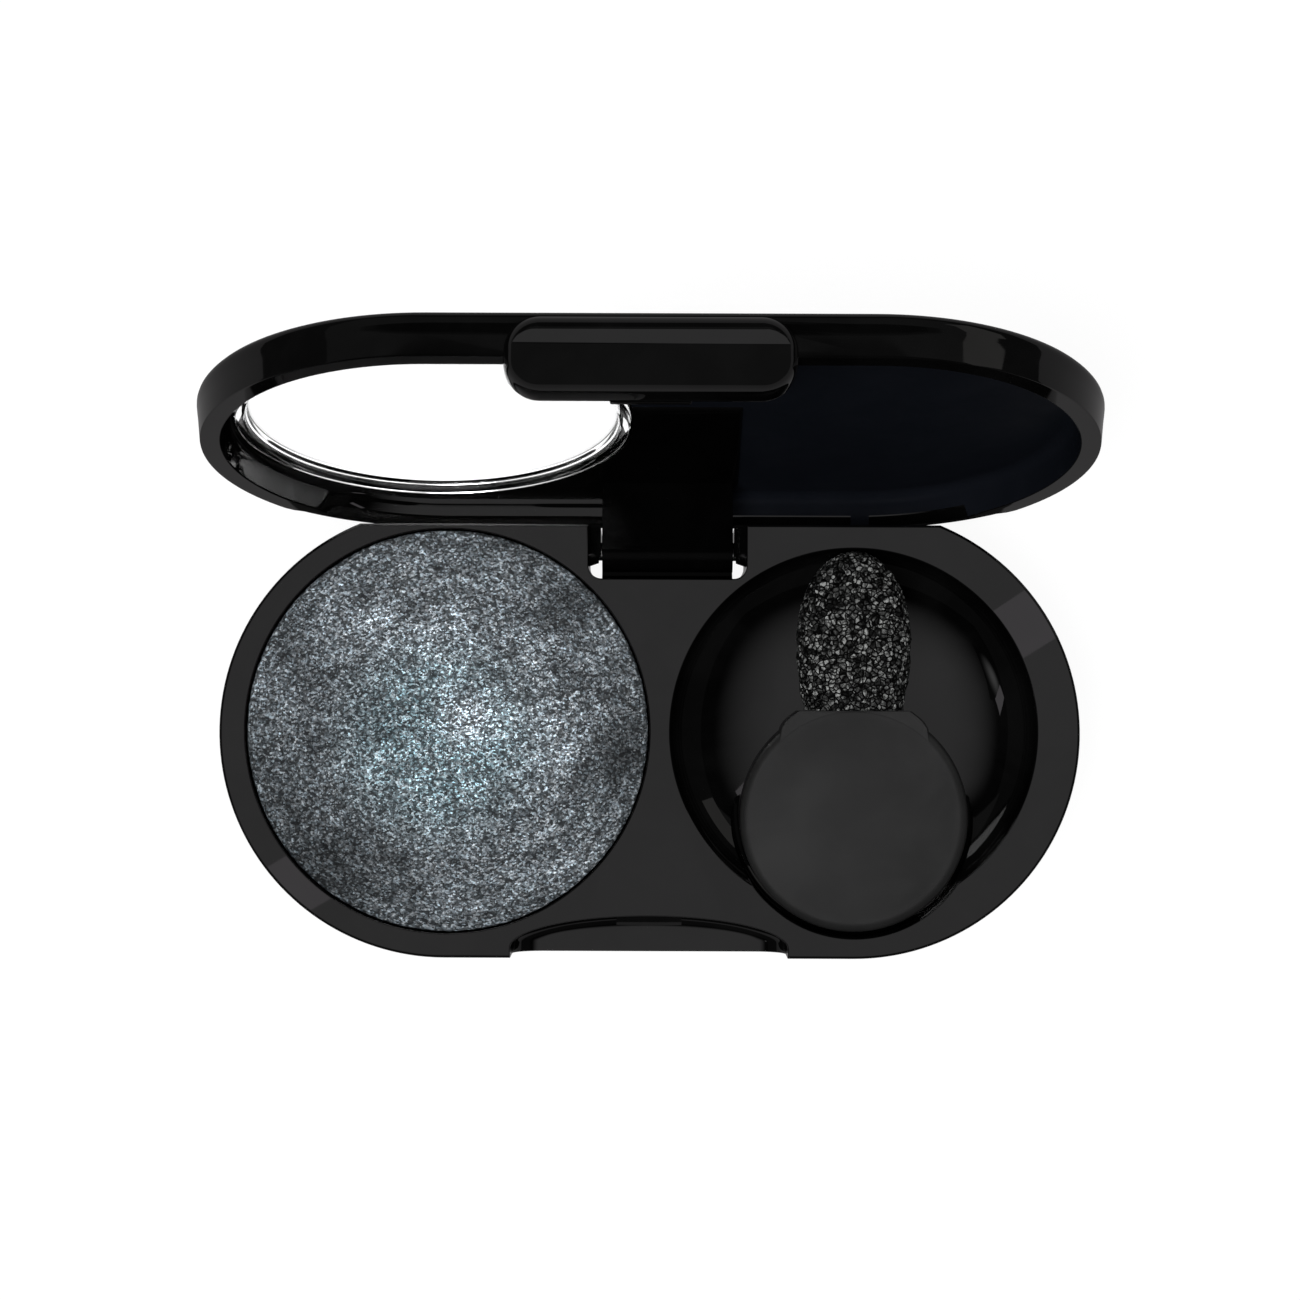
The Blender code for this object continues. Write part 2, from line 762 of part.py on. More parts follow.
def cut_lip_rear():
    """Planes the lip off towards the rear, to pass over the deck as the lid swings."""
    made = box("cut_lip_rear", (-40.0, 0.0, -2.0), (40.0, 8.0, 0.0))
    made.location = Vector((0.0, RELIEF_START - HINGE_Y, lid_z(0.0))) * MM
    made.rotation_euler = (LIP_SLOPE, 0.0, 0.0)
    return made


def cut_window():
    centre = (WINDOW_CENTRE[0], WINDOW_CENTRE[1] - HINGE_Y)
    profile = [
        (0.0, lid_z(LID_TOP_HEIGHT + 1.0)),
        (WINDOW_HOLE_RADIUS, lid_z(LID_TOP_HEIGHT + 1.0)),
        (WINDOW_HOLE_RADIUS, lid_z(WINDOW_SEAT_HEIGHT)),
        (WINDOW_SEAT_RADIUS, lid_z(WINDOW_SEAT_HEIGHT)),
        (WINDOW_SEAT_RADIUS, lid_z(1.3)),
        (0.0, lid_z(1.3)),
    ]
    return turned("cut_window", centre, profile)


def add_arm():
    """The hinge arm, from the lid's ceiling down to the pin, square to the lip."""
    low = (HINGE_CENTRE_X - ARM_HALF_WIDTH, 0.03 - BARREL_RADIUS, -0.21)
    high = (
        HINGE_CENTRE_X + ARM_HALF_WIDTH,
        ARM_REAR - HINGE_Y,
        lid_z(CEILING_HEIGHT + 0.45),
    )
    return box("add_arm", low, high)


def add_arm_root():
    """Joins the arm to the lid's rear wall, above the lip only."""
    half = ARM_HALF_WIDTH - 0.04
    low = (HINGE_CENTRE_X - half, 0.0, lid_z(0.15))
    high = (
        HINGE_CENTRE_X + half,
        LID_LIP_RADIUS - HINGE_Y - 0.9,
        lid_z(CEILING_HEIGHT + 0.4),
    )
    return box("add_arm_root", low, high)


def add_arm_pad():
    """A low pad with sloping sides on the ceiling in front of the arm."""
    rear = -0.3
    front = -HINGE_Y - PAD_FRONT
    low_z = lid_z(CEILING_HEIGHT - PAD_HEIGHT)
    rings = []
    for grow, z in (
        (0.05, low_z),
        (0.25, low_z + 0.12),
        (0.6, lid_z(CEILING_HEIGHT + 0.35)),
    ):
        half = ARM_HALF_WIDTH + grow
        rings.append(
            [
                (HINGE_CENTRE_X - half, front - grow, z),
                (HINGE_CENTRE_X + half, front - grow, z),
                (HINGE_CENTRE_X + half, rear, z),
                (HINGE_CENTRE_X - half, rear, z),
            ]
        )
    return lofted("add_arm_pad", rings)


def add_heel():
    """The stop on the barrel that meets the notch's front wall when the lid is open."""
    half = ARM_HALF_WIDTH - 0.03
    heel = box(
        "add_heel",
        (HINGE_CENTRE_X - half, -HEEL_REACH, HEEL_BOTTOM),
        (HINGE_CENTRE_X + half, -0.11, HEEL_TOP),
    )
    heel.rotation_euler = (OPEN_ANGLE, 0.0, 0.0)
    return heel


def rounded_rectangle(inset, y, steps=5):
    """The thumb tab's outline, facing along Y, at an inset from its largest size."""
    low = lid_z(TAB_BOTTOM) + 0.35 * inset
    high = lid_z(TAB_TOP) - inset
    half = TAB_HALF_WIDTH - inset
    radius = min(max(TAB_CORNER - inset, 0.3), (high - low) / 2 - 0.01)
    corners = (
        (half - radius, high - radius),
        (-half + radius, high - radius),
        (-half + radius, low + radius),
        (half - radius, low + radius),
    )
    points = []
    for quarter, (x, z) in enumerate(corners):
        for i in range(steps + 1):
            a = math.pi / 2 * (quarter + i / steps)
            points.append((x + radius * math.cos(a), y, z + radius * math.sin(a)))
    return points


def add_thumb_tab():
    """The pillow-shaped tab that hangs over the thumb notch."""
    rings = []
    for inset, reach in (
        (0.75, TAB_INNER),
        (0.30, TAB_INNER + 0.25),
        (0.0, TAB_INNER + 0.75),
        (0.0, TAB_OUTER - 1.4),
        (0.1, TAB_OUTER - 0.9),
        (0.38, TAB_OUTER - 0.45),
        (0.8, TAB_OUTER - 0.14),
        (1.3, TAB_OUTER),
    ):
        rings.append(rounded_rectangle(inset, -reach - HINGE_Y))
    return lofted("add_thumb_tab", rings)


def cut_tab_face():
    """Sets the tab's front face back below the grip ridge along its top."""
    outline = [
        (-17.08, 1.5),
        (-16.75, 0.5),
        (-16.75, -4.0),
        (-18.5, -4.0),
        (-18.5, 1.5),
    ]
    points = [(reach - HINGE_Y, lid_z(height)) for reach, height in outline]
    return prism("cut_tab_face", -12.0, 12.0, points)


def add_latch_bead():
    """The low bead on the tab's inner face that snaps under the catch nub."""
    low = (-BEAD_HALF_WIDTH, -TAB_INNER - 0.6 - HINGE_Y, lid_z(TAB_BOTTOM + 0.1))
    high = (
        BEAD_HALF_WIDTH,
        -TAB_INNER + BEAD_REACH - HINGE_Y,
        lid_z(TAB_BOTTOM + 0.5),
    )
    return box("add_latch_bead", low, high)


def make_lid_shell(pivot):
    shell = lofted("lid_shell", lid_rings(), BLACK_GLOSS)
    half = ARM_HALF_WIDTH - 0.02
    low = HINGE_CENTRE_X - half
    high = HINGE_CENTRE_X + half
    radius = BARREL_RADIUS
    hole = PIN_RADIUS + PIN_CLEARANCE
    steps = [
        (cut_lid_cavity(), "DIFFERENCE"),
        (cut_lip_rear(), "DIFFERENCE"),
        (add_arm_pad(), "UNION"),
        (cut_window(), "DIFFERENCE"),
        (add_arm(), "UNION"),
        (add_arm_root(), "UNION"),
        (rod("add_barrel", low, high, 0.0, 0.0, radius, radius, None, 32), "UNION"),
        (add_heel(), "UNION"),
        (add_thumb_tab(), "UNION"),
        (cut_tab_face(), "DIFFERENCE"),
        (add_latch_bead(), "UNION"),
        (rod("cut_arm_bore", low - 1.0, high + 1.0, 0.0, 0.0, hole, hole), "DIFFERENCE"),
    ]
    for other, operation in steps:
        other.parent = pivot
        boolean(shell, other, operation)
    shell.parent = pivot
    return shell


def make_window_lens(pivot):
    """A clear disc with a raised rim on the inside and a shallow crown on the outside."""
    centre = (WINDOW_CENTRE[0], WINDOW_CENTRE[1] - HINGE_Y)
    start = LENS_BOSS_RADIUS - 0.15
    count = 5
    profile = []
    for i in range(count):
        t = i / count
        profile.append((start * t, lid_z(LENS_OUTER_HEIGHT + LENS_CROWN * (1 - t * t))))
    profile += [
        (start, lid_z(LENS_OUTER_HEIGHT)),
        (LENS_BOSS_RADIUS, lid_z(LENS_OUTER_HEIGHT - 0.15)),
        (LENS_BOSS_RADIUS, lid_z(LENS_STEP_HEIGHT)),
        (LENS_FLANGE_RADIUS, lid_z(LENS_STEP_HEIGHT)),
        (LENS_FLANGE_RADIUS, lid_z(LENS_INNER_HEIGHT + 0.15)),
        (LENS_FLANGE_RADIUS - 0.15, lid_z(LENS_INNER_HEIGHT)),
        (LENS_CLEAR_RADIUS + 0.15, lid_z(LENS_INNER_HEIGHT)),
        (LENS_CLEAR_RADIUS, lid_z(LENS_INNER_HEIGHT + 0.15)),
        (LENS_CLEAR_RADIUS - 0.15, lid_z(LENS_PANE_HEIGHT - 0.12)),
        (LENS_CLEAR_RADIUS - 0.6, lid_z(LENS_PANE_HEIGHT)),
        (0.0, lid_z(LENS_PANE_HEIGHT)),
    ]
    lens = turned("window_lens", centre, profile, CLEAR)
    lens.parent = pivot
    return lens


def empty(name, location):
    made = bpy.data.objects.new(name, None)
    made.empty_display_size = 4 * MM
    made.location = Vector(location) * MM
    PARTS.objects.link(made)
    return made


for old in list(bpy.data.objects):
    bpy.data.objects.remove(old, do_unlink=True)

PARTS = bpy.data.collections.new("eyeshadow_duo_compact")
CUTTERS = bpy.data.collections.new("cutters")
bpy.context.scene.collection.children.link(PARTS)
bpy.context.scene.collection.children.link(CUTTERS)

BLACK_SATIN = material("black_satin_plastic", (0.022, 0.022, 0.024), 0.35)
BLACK_GLOSS = material("black_gloss_plastic", (0.010, 0.010, 0.012), 0.12)
BLACK_PLATE = material("black_plate_plastic", (0.025, 0.025, 0.026), 0.5)
HANDLE_SATIN = material("handle_satin_plastic", (0.028, 0.028, 0.028), 0.42)
CLEAR = material("clear_plastic", (0.95, 0.96, 0.97), 0.05, 0.0, 0.25)
POWDER = material("baked_slate_powder", (0.16, 0.19, 0.21), 0.55, 0.3)
ALUMINIUM = material("pan_aluminium", (0.75, 0.75, 0.76), 0.4, 1.0)
ADHESIVE = material("pan_adhesive", (0.85, 0.85, 0.80), 0.7)
STEEL = material("pin_steel", (0.55, 0.55, 0.56), 0.3, 1.0)
FOAM = material("applicator_foam", (0.02, 0.02, 0.02), 0.8)
LABEL = material("label_paper", (0.85, 0.85, 0.85), 0.6)

make_base_shell()
make_bottom_plate()
make_shade_label()
make_powder_pan()
make_pan_adhesive()
make_baked_powder()
make_hinge_pin()
SLIDE = empty("applicator_slide", (0.0, 0.0, 0.0))
make_applicator_handle(SLIDE)
make_applicator_sponge(SLIDE)
PIVOT = empty("lid_pivot", (0.0, HINGE_Y, BASE_HEIGHT - HINGE_DROP))
PIVOT.rotation_euler = (-OPEN_ANGLE, 0.0, 0.0)
make_lid_shell(PIVOT)
make_window_lens(PIVOT)
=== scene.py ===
"""Looks of the pill-shaped duo compact: pieces, materials, studio and camera."""

import math

import bmesh
import bpy
from mathutils import Matrix, Vector, noise


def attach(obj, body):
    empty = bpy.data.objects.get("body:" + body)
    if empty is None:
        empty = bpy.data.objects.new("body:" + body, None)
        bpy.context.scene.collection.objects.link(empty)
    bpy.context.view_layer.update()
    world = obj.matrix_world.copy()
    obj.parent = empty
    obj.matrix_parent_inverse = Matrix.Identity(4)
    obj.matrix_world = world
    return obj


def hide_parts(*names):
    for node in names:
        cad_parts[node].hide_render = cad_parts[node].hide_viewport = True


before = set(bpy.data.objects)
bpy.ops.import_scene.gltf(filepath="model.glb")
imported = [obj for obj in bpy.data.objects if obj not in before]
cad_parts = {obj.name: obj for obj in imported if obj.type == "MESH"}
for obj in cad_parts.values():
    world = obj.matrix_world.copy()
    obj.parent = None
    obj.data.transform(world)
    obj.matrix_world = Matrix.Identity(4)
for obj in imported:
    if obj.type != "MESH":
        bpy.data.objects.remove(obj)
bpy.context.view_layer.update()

MM = 0.001
OPEN_ANGLE = math.radians(108.43)
HINGE_Y = 12.467
HINGE_DROP = 2.681
DECK = 9.0
HALF_SPACING = 14.29
BASE_RADIUS = 15.71
REAR_CUT = 14.57
REAR_CUT_FOOT = 13.62
POWDER_CENTRE = (-14.1, 0.1)
BOWL_CENTRE = (14.22, 0.11)
RECESS_CENTRE = (14.30, -5.65)
HANDLE_CENTRE = (14.28, -5.88)
HINGE_X = 1.21
PIN_HEIGHT = DECK - HINGE_DROP
ARM_HALF_WIDTH = 4.60
HINGE_NOTCH_HALF = 5.52
HINGE_NOTCH_FRONT = 10.77
BORE_RADIUS = 0.45
POWDER_WELL_RADIUS = 14.1
BOWL_RADIUS = 12.78
BOWL_LIP = 0.7
BOWL_DEPTH = 4.3
RECESS_RADIUS = 8.62
GRIP_RADIUS = 7.97
GRIP_FILLET = 0.75
GRIP_FLAT = 1.56
FOAM_START = 1.62
FOAM_TIP = 12.72
FOAM_MIDDLE = DECK - 1.4
NOTCH_HALF_WIDTH = 9.68
NOTCH_ARC_CENTRE = -15.02
NOTCH_ARC_DEPTH = 2.26
NOTCH_DROP = 5.9
NOTCH_COVE = 2.1
LID_CAVITY_RADIUS = 14.55
RELIEF_START = 11.8
LIP_SLOPE = math.radians(3.5)
ARC_STEPS = 72
TURN_STEPS = 180
TO_OPEN = Matrix.Translation(
    Vector((0.0, HINGE_Y, PIN_HEIGHT)) * MM
) @ Matrix.Rotation(-OPEN_ANGLE, 4, "X")


# ---------------------------------------------------------------- mesh tools


def linked(mesh, name):
    made = bpy.data.objects.new(name, mesh)
    bpy.context.scene.collection.objects.link(made)
    return made


def from_bmesh(bm, name):
    bmesh.ops.recalc_face_normals(bm, faces=bm.faces)
    mesh = bpy.data.meshes.new(name)
    bm.to_mesh(mesh)
    bm.free()
    return linked(mesh, name)


def lofted(name, rings):
    """Skins a stack of closed rings of equal length and closes both ends."""
    bm = bmesh.new()
    rows = [[bm.verts.new(Vector(p) * MM) for p in ring] for ring in rings]
    for low, high in zip(rows, rows[1:]):
        count = len(low)
        for i in range(count):
            j = (i + 1) % count
            bm.faces.new((low[i], low[j], high[j], high[i]))
    bm.faces.new(rows[0])
    bm.faces.new(rows[-1])
    return from_bmesh(bm, name)


def skinned(bm, rows, steps):
    """Adds the faces between rows of vertices, each a ring or a single point."""
    for high, low in zip(rows, rows[1:]):
        for i in range(steps):
            j = (i + 1) % steps
            corners = []
            for v in (
                high[i % len(high)],
                low[i % len(low)],
                low[j % len(low)],
                high[j % len(high)],
            ):
                if v not in corners:
                    corners.append(v)
            if len(corners) > 2:
                bm.faces.new(corners)


def turned(name, centre, profile, steps=TURN_STEPS):
    """A round body about a vertical axis, from (radius, height) pairs."""
    bm = bmesh.new()
    rows = []
    for r, z in profile:
        if r < 1e-6:
            rows.append([bm.verts.new(Vector((centre[0], centre[1], z)) * MM)])
            continue
        row = []
        for i in range(steps):
            a = 2 * math.pi * i / steps
            point = (centre[0] + r * math.cos(a), centre[1] + r * math.sin(a), z)
            row.append(bm.verts.new(Vector(point) * MM))
        rows.append(row)
    skinned(bm, rows, steps)
    return from_bmesh(bm, name)


def box(name, low, high, bevel=0.0, segments=3):
    low, high = Vector(low), Vector(high)
    bm = bmesh.new()
    size = Matrix.Diagonal((*((high - low) * MM), 1.0))
    bmesh.ops.create_cube(
        bm, size=1.0, matrix=Matrix.Translation((low + high) / 2 * MM) @ size
    )
    if bevel:
        bmesh.ops.bevel(
            bm,
            geom=list(bm.edges),
            offset=bevel * MM,
            segments=segments,
            profile=0.5,
            affect="EDGES",
        )
    return from_bmesh(bm, name)


def rod(name, start, end, y, z, r0, r1, steps=48):
    turn = Matrix.Rotation(math.pi / 2, 4, "Y")
    move = Matrix.Translation(Vector(((start + end) / 2, y, z)) * MM)
    bm = bmesh.new()
    bmesh.ops.create_cone(
        bm,
        cap_ends=True,
        segments=steps,
        radius1=r0 * MM,
        radius2=r1 * MM,
        depth=(end - start) * MM,
        matrix=move @ turn,
    )
    return from_bmesh(bm, name)


def combine(target, steps):
    """Runs the Booleans on target, keeps the mesh and removes the other bodies."""
    for other, operation in steps:
        step = target.modifiers.new(other.name, "BOOLEAN")
        step.operation = operation
        step.solver = "EXACT"
        step.object = other
    bake(target)
    for other, _ in steps:
        bpy.data.objects.remove(other, do_unlink=True)
    return target


def bake(piece):
    """Applies a piece's modifiers."""
    graph = bpy.context.evaluated_depsgraph_get()
    graph.update()
    mesh = bpy.data.meshes.new_from_object(piece.evaluated_get(graph))
    piece.modifiers.clear()
    piece.data = mesh


def soften(piece, angle=32.0):
    """Smooth shading, with flat faces kept flat beside their rounded edges."""
    bm = bmesh.new()
    bm.from_mesh(piece.data)
    bmesh.ops.remove_doubles(bm, verts=bm.verts, dist=1e-7)
    bmesh.ops.dissolve_degenerate(bm, dist=1e-7, edges=bm.edges)
    bm.to_mesh(piece.data)
    bm.free()
    piece.data.shade_smooth()
    piece.data.set_sharp_from_angle(angle=math.radians(angle))
    step = piece.modifiers.new("weighted", "WEIGHTED_NORMAL")
    step.keep_sharp = True
    step.weight = 80


def placed(piece, body, nodes, material, matrix=None):
    if matrix is not None:
        piece.data.transform(matrix)
    piece.data.materials.clear()
    piece.data.materials.append(material)
    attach(piece, body)
    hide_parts(*nodes)
    return piece


def prism(name, low, high, outline):
    """A bar along X between two ends, from its (y, z) outline."""
    return lofted(name, [[(x, y, z) for y, z in outline] for x in (low, high)])


def pill(radius, z, rear=None, steps=ARC_STEPS):
    start = math.pi / 2
    if rear is not None and rear < radius:
        start = math.asin(rear / radius)
    angles = [start + (-math.pi / 2 - start) * i / (steps - 1) for i in range(steps)]
    right = [
        (HALF_SPACING + radius * math.cos(a), radius * math.sin(a)) for a in angles
    ]
    left = [(-x, y) for x, y in reversed(right)]
    return [(x, y, z) for x, y in right + left]


def quarter(radius, steps):
    """(inset, rise) pairs of a quarter round, from the wall to the flat."""
    return [
        (
            radius * (1 - math.cos(math.pi / 2 * i / steps)),
            radius * math.sin(math.pi / 2 * i / steps),
        )
        for i in range(steps + 1)
    ]


def smooth(t):
    t = min(1.0, max(0.0, t))
    return t * t * (3 - 2 * t)


# ---------------------------------------------------------------- base shell


def rear_at(z):
    return REAR_CUT_FOOT + (REAR_CUT - REAR_CUT_FOOT) * z / DECK


def base_rings():
    rings = []
    for inset, rise in reversed(quarter(0.8, 6)):
        z = 0.8 - rise
        rings.append(pill(BASE_RADIUS - inset, z, rear_at(z) - inset))
    for inset, rise in quarter(0.22, 5):
        z = DECK - 0.22 + rise
        rings.append(pill(BASE_RADIUS - inset, z, rear_at(z) - inset))
    return rings


def well_profile(radius, fillet, rest):
    """A well cutter's profile: the fillet at its rim, then the given points."""
    points = [(0.0, DECK + 1.0), (radius + fillet, DECK + 1.0)]
    for inset, rise in reversed(quarter(fillet, 5)):
        points.append((radius + inset, DECK - fillet + rise))
    return points + rest


def bowl_cutter():
    rest = []
    count = 34
    for i in range(count):
        a = math.pi / 2 * (1 - i / count)
        sunk = BOWL_DEPTH * math.cos(a) ** 0.8
        rest.append((BOWL_RADIUS * math.sin(a), DECK - BOWL_LIP - sunk))
    rest.append((0.0, DECK - 5.0))
    return turned("cut_bowl", BOWL_CENTRE, well_profile(BOWL_RADIUS, 0.12, rest))


def notch_ring(inset, z, steps=61):
    """Thumb notch outline: a flattened half ellipse, open to the front."""
    half = NOTCH_HALF_WIDTH - inset
    depth = NOTCH_ARC_DEPTH - 0.6 * inset
    points = []
    for i in range(steps):
        a = math.pi * i / (steps - 1)
        y = NOTCH_ARC_CENTRE + depth * math.sin(a)
        points.append((half * math.cos(a), y, z))
    front = -BASE_RADIUS - 2.0
    return points + [(-half, front, z), (half, front, z)]


def notch_cutter():
    rings = []
    for i in reversed(range(11)):
        a = math.pi / 2 * i / 10
        z = DECK - NOTCH_DROP + NOTCH_COVE * (1 - math.sin(a))
        rings.append(notch_ring(NOTCH_COVE * (1 - math.cos(a)), z))
    for inset, rise in quarter(0.1, 4):
        rings.append(notch_ring(-inset, DECK - 0.1 + rise))
    rings.append(notch_ring(-0.1, DECK + 1.0))
    return lofted("cut_notch", rings)


def hinge_cutter(steps=14):
    corner = 0.9
    low_x, high_x = HINGE_X - HINGE_NOTCH_HALF, HINGE_X + HINGE_NOTCH_HALF
    rings = []
    for grow, z in (
        (0.0, -1.0),
        (0.0, DECK - 0.12),
        (0.035, DECK - 0.035),
        (0.12, DECK),
        (0.12, DECK + 1),
    ):
        outline = [(high_x + grow, REAR_CUT + 2.0), (low_x - grow, REAR_CUT + 2.0)]
        for centre, start in (
            (low_x + corner, math.pi),
            (high_x - corner, 1.5 * math.pi),
        ):
            for i in range(steps + 1):
                a = start + math.pi / 2 * i / steps
                r = corner + grow
                y = HINGE_NOTCH_FRONT + corner + r * math.sin(a)
                outline.append((centre + r * math.cos(a), y))
        rings.append([(x, y, z) for x, y in outline])
    return lofted("cut_hinge", rings)


def surround(name, side, low_y, high_y, low_z=-2.0):
    return box(name, (side[0], low_y, low_z), (side[1], high_y, DECK))


def underside_cutter():
    cavity = lofted(
        "cut_under", [pill(14.3, z, rear_at(0.0) - 1.2) for z in (-1.0, 3.2)]
    )
    hinge = surround("keep_h", (HINGE_X - 6.62, HINGE_X + 6.62), 9.67, REAR_CUT + 2.0)
    ledge = surround("keep_n", (-8.78, 8.78), -BASE_RADIUS - 2.0, -BASE_RADIUS + 2.9)
    return combine(cavity, [(hinge, "DIFFERENCE"), (ledge, "DIFFERENCE")])


def boss(name, side):
    """A cone on the hinge notch's wall that carries the pin."""
    wall = HINGE_X + side * 5.92
    tip = HINGE_X + side * 4.82
    slope = 0.27 / 0.92
    ends = sorted(((wall, 0.85 + 0.4 * slope), (tip, 0.58)))
    (start, r0), (end, r1) = ends
    return rod(name, start, end, HINGE_Y, PIN_HEIGHT, r0, r1)


def ear(name, side):
    """The web behind a boss, beside the arm."""
    near, far = HINGE_X + side * 4.66, HINGE_X + side * 5.92
    outline = [
        (12.3, 1.0),
        (12.3, 6.95),
        (13.2, 7.4),
        (rear_at(8.6) - 0.03, 8.6),
        (rear_at(1.0) - 0.03, 1.0),
    ]
    return prism(name, min(near, far), max(near, far), outline)


def make_base():
    shell = lofted("base_body", base_rings())
    floor = DECK - 4.8
    powder_well = turned(
        "cut_powder",
        POWDER_CENTRE,
        well_profile(
            POWDER_WELL_RADIUS,
            0.1,
            [(13.9, floor + 0.35), (13.78, floor + 0.12), (13.5, floor), (0.0, floor)],
        ),
    )
    floor = DECK - 4.0
    recess = turned(
        "cut_recess",
        RECESS_CENTRE,
        well_profile(
            RECESS_RADIUS,
            0.1,
            [
                (RECESS_RADIUS, floor + 0.9),
                (8.55, floor + 0.5),
                (8.37, floor + 0.25),
                (8.1, floor + 0.08),
                (7.72, floor),
                (0.0, floor),
            ],
        ),
    )
    nub = prism(
        "nub",
        -2.27,
        2.27,
        [
            (-12.2, 8.5),
            (-12.62, 8.5),
            (-13.40, 7.80),
            (-13.46, 7.72),
            (-13.46, 7.35),
            (-12.2, 7.35),
        ],
    )
    sill = prism(
        "sill",
        HINGE_X - 4.62,
        HINGE_X + 4.62,
        [(10.6, 0.4), (10.6, 4.9), (11.6, 3.6), (11.6, 0.4)],
    )
    bridge = box("bridge", (HINGE_X - 6.02, 12.5, 0.35), (HINGE_X + 6.02, 13.5, 1.4))
    reach = 7.7
    bore = rod(
        "bore",
        HINGE_X - reach,
        HINGE_X + reach,
        HINGE_Y,
        PIN_HEIGHT,
        BORE_RADIUS,
        BORE_RADIUS,
        32,
    )
    combine(
        shell,
        [
            (powder_well, "DIFFERENCE"),
            (bowl_cutter(), "DIFFERENCE"),
            (recess, "DIFFERENCE"),
            (notch_cutter(), "DIFFERENCE"),
            (hinge_cutter(), "DIFFERENCE"),
            (underside_cutter(), "DIFFERENCE"),
            (nub, "UNION"),
            (ear("ear_l", -1), "UNION"),
            (ear("ear_r", 1), "UNION"),
            (sill, "UNION"),
            (boss("boss_l", -1), "UNION"),
            (boss("boss_r", 1), "UNION"),
            (bridge, "UNION"),
            (bore, "DIFFERENCE"),
        ],
    )
    soften(shell)
    return placed(shell, "base", ["base_shell"], BASE_PLASTIC)


# ---------------------------------------------------------------- lid


def lid_z(height):
    """Height above the lip, as a height about the hinge axis with the lid closed."""
    return HINGE_DROP + 0.25 + height


def lid_points(ring):
    return [(x, y - HINGE_Y, z) for x, y, z in ring]


def relieved(ring, amount):
    """Sets the rear of an outline in, or out where amount is negative."""
    points = []
    for x, y, z in ring:
        centre = max(-HALF_SPACING, min(HALF_SPACING, x))
        away = math.hypot(x - centre, y)
        shift = amount * smooth(y - RELIEF_START + 0.5)
        scale = (away - shift) / away
        points.append((centre + (x - centre) * scale, y * scale, z))
    return points


def lid_body():
    rings = []
    rows = [
        (15.80, 0.0, 1.0),
        (15.93, 0.02, 1.0),
        (15.95, 0.12, 1.0),
        (16.10, 1.4, 1.0),
        (16.16, 1.85, 0.8),
        (16.20, 2.1, 0.6),
        (16.235, 2.38, 0.25),
        (16.24, 2.55, 0.0),
        (16.19, 2.72, 0.0),
        (16.10, 2.84, 0.0),
        (15.97, 2.97, 0.0),
        (15.82, 3.05, 0.0),
        (15.62, 3.11, 0.0),
        (15.35, 3.15, 0.0),
    ]
    for radius, height, relief in rows:
        ring = relieved(pill(radius, lid_z(height)), 0.42 * relief)
        rings.append(lid_points(ring))
    return lofted("lid_body", rings)


def lid_cavity():
    inner = LID_CAVITY_RADIUS
    rings = []
    for radius, height, flare in (
        (inner + 0.1, -1.0, 0.5),
        (inner + 0.1, 0.0, 0.5),
        (inner + 0.03, 0.04, 0.5),
        (inner, 0.12, 0.5),
        (inner - 0.04, 0.85, 0.0),
        (inner - 0.12, 1.6, 0.0),
        (inner - 0.25, 1.95, 0.0),
        (inner - 0.45, 2.2, 0.0),
        (inner - 0.75, 2.34, 0.0),
        (inner - 1.1, 2.4, 0.0),
    ):
        ring = relieved(pill(radius, lid_z(height)), -flare)
        rings.append(lid_points(ring))
    return lofted("cut_cavity", rings)


def lip_plane():
    """Planes the lip off towards the rear."""
    made = box("cut_lip", (-40.0, 0.0, -2.0), (40.0, 8.0, 0.0))
    made.data.transform(
        Matrix.Translation(Vector((0.0, RELIEF_START - HINGE_Y, lid_z(0.0))) * MM)
        @ Matrix.Rotation(LIP_SLOPE, 4, "X")
    )
    return made


WINDOW_AXIS = (-14.7, -HINGE_Y)


def window_cutter():
    profile = [
        (0.0, lid_z(4.15)),
        (13.2, lid_z(4.15)),
        (13.2, lid_z(3.15)),
        (13.13, lid_z(3.10)),
        (13.1, lid_z(3.02)),
        (13.1, lid_z(2.72)),
        (13.6, lid_z(2.72)),
        (13.6, lid_z(1.3)),
        (0.0, lid_z(1.3)),
    ]
    return turned("cut_window", WINDOW_AXIS, profile)


def pad_body():
    rear, front = -0.3, -HINGE_Y - 1.5
    rings = []
    for grow, z in (
        (0.05, lid_z(2.05)),
        (0.11, lid_z(2.06)),
        (0.25, lid_z(2.17)),
        (0.6, lid_z(2.75)),
    ):
        half = ARM_HALF_WIDTH + grow
        rings.append(
            [
                (HINGE_X - half, front - grow, z),
                (HINGE_X + half, front - grow, z),
                (HINGE_X + half, rear, z),
                (HINGE_X - half, rear, z),
            ]
        )
    return lofted("pad", rings)


def tab_outline(inset, y, steps=12):
    low = lid_z(-2.45) + 0.35 * inset
    high = lid_z(2.75) - inset
    half = 9.33 - inset
    radius = min(max(2.3 - inset, 0.3), (high - low) / 2 - 0.01)
    corners = (
        (half - radius, high - radius),
        (-half + radius, high - radius),
        (-half + radius, low + radius),
        (half - radius, low + radius),
    )
    points = []
    for number, (x, z) in enumerate(corners):
        for i in range(steps + 1):
            a = math.pi / 2 * (number + i / steps)
            points.append((x + radius * math.cos(a), y, z + radius * math.sin(a)))
    return points


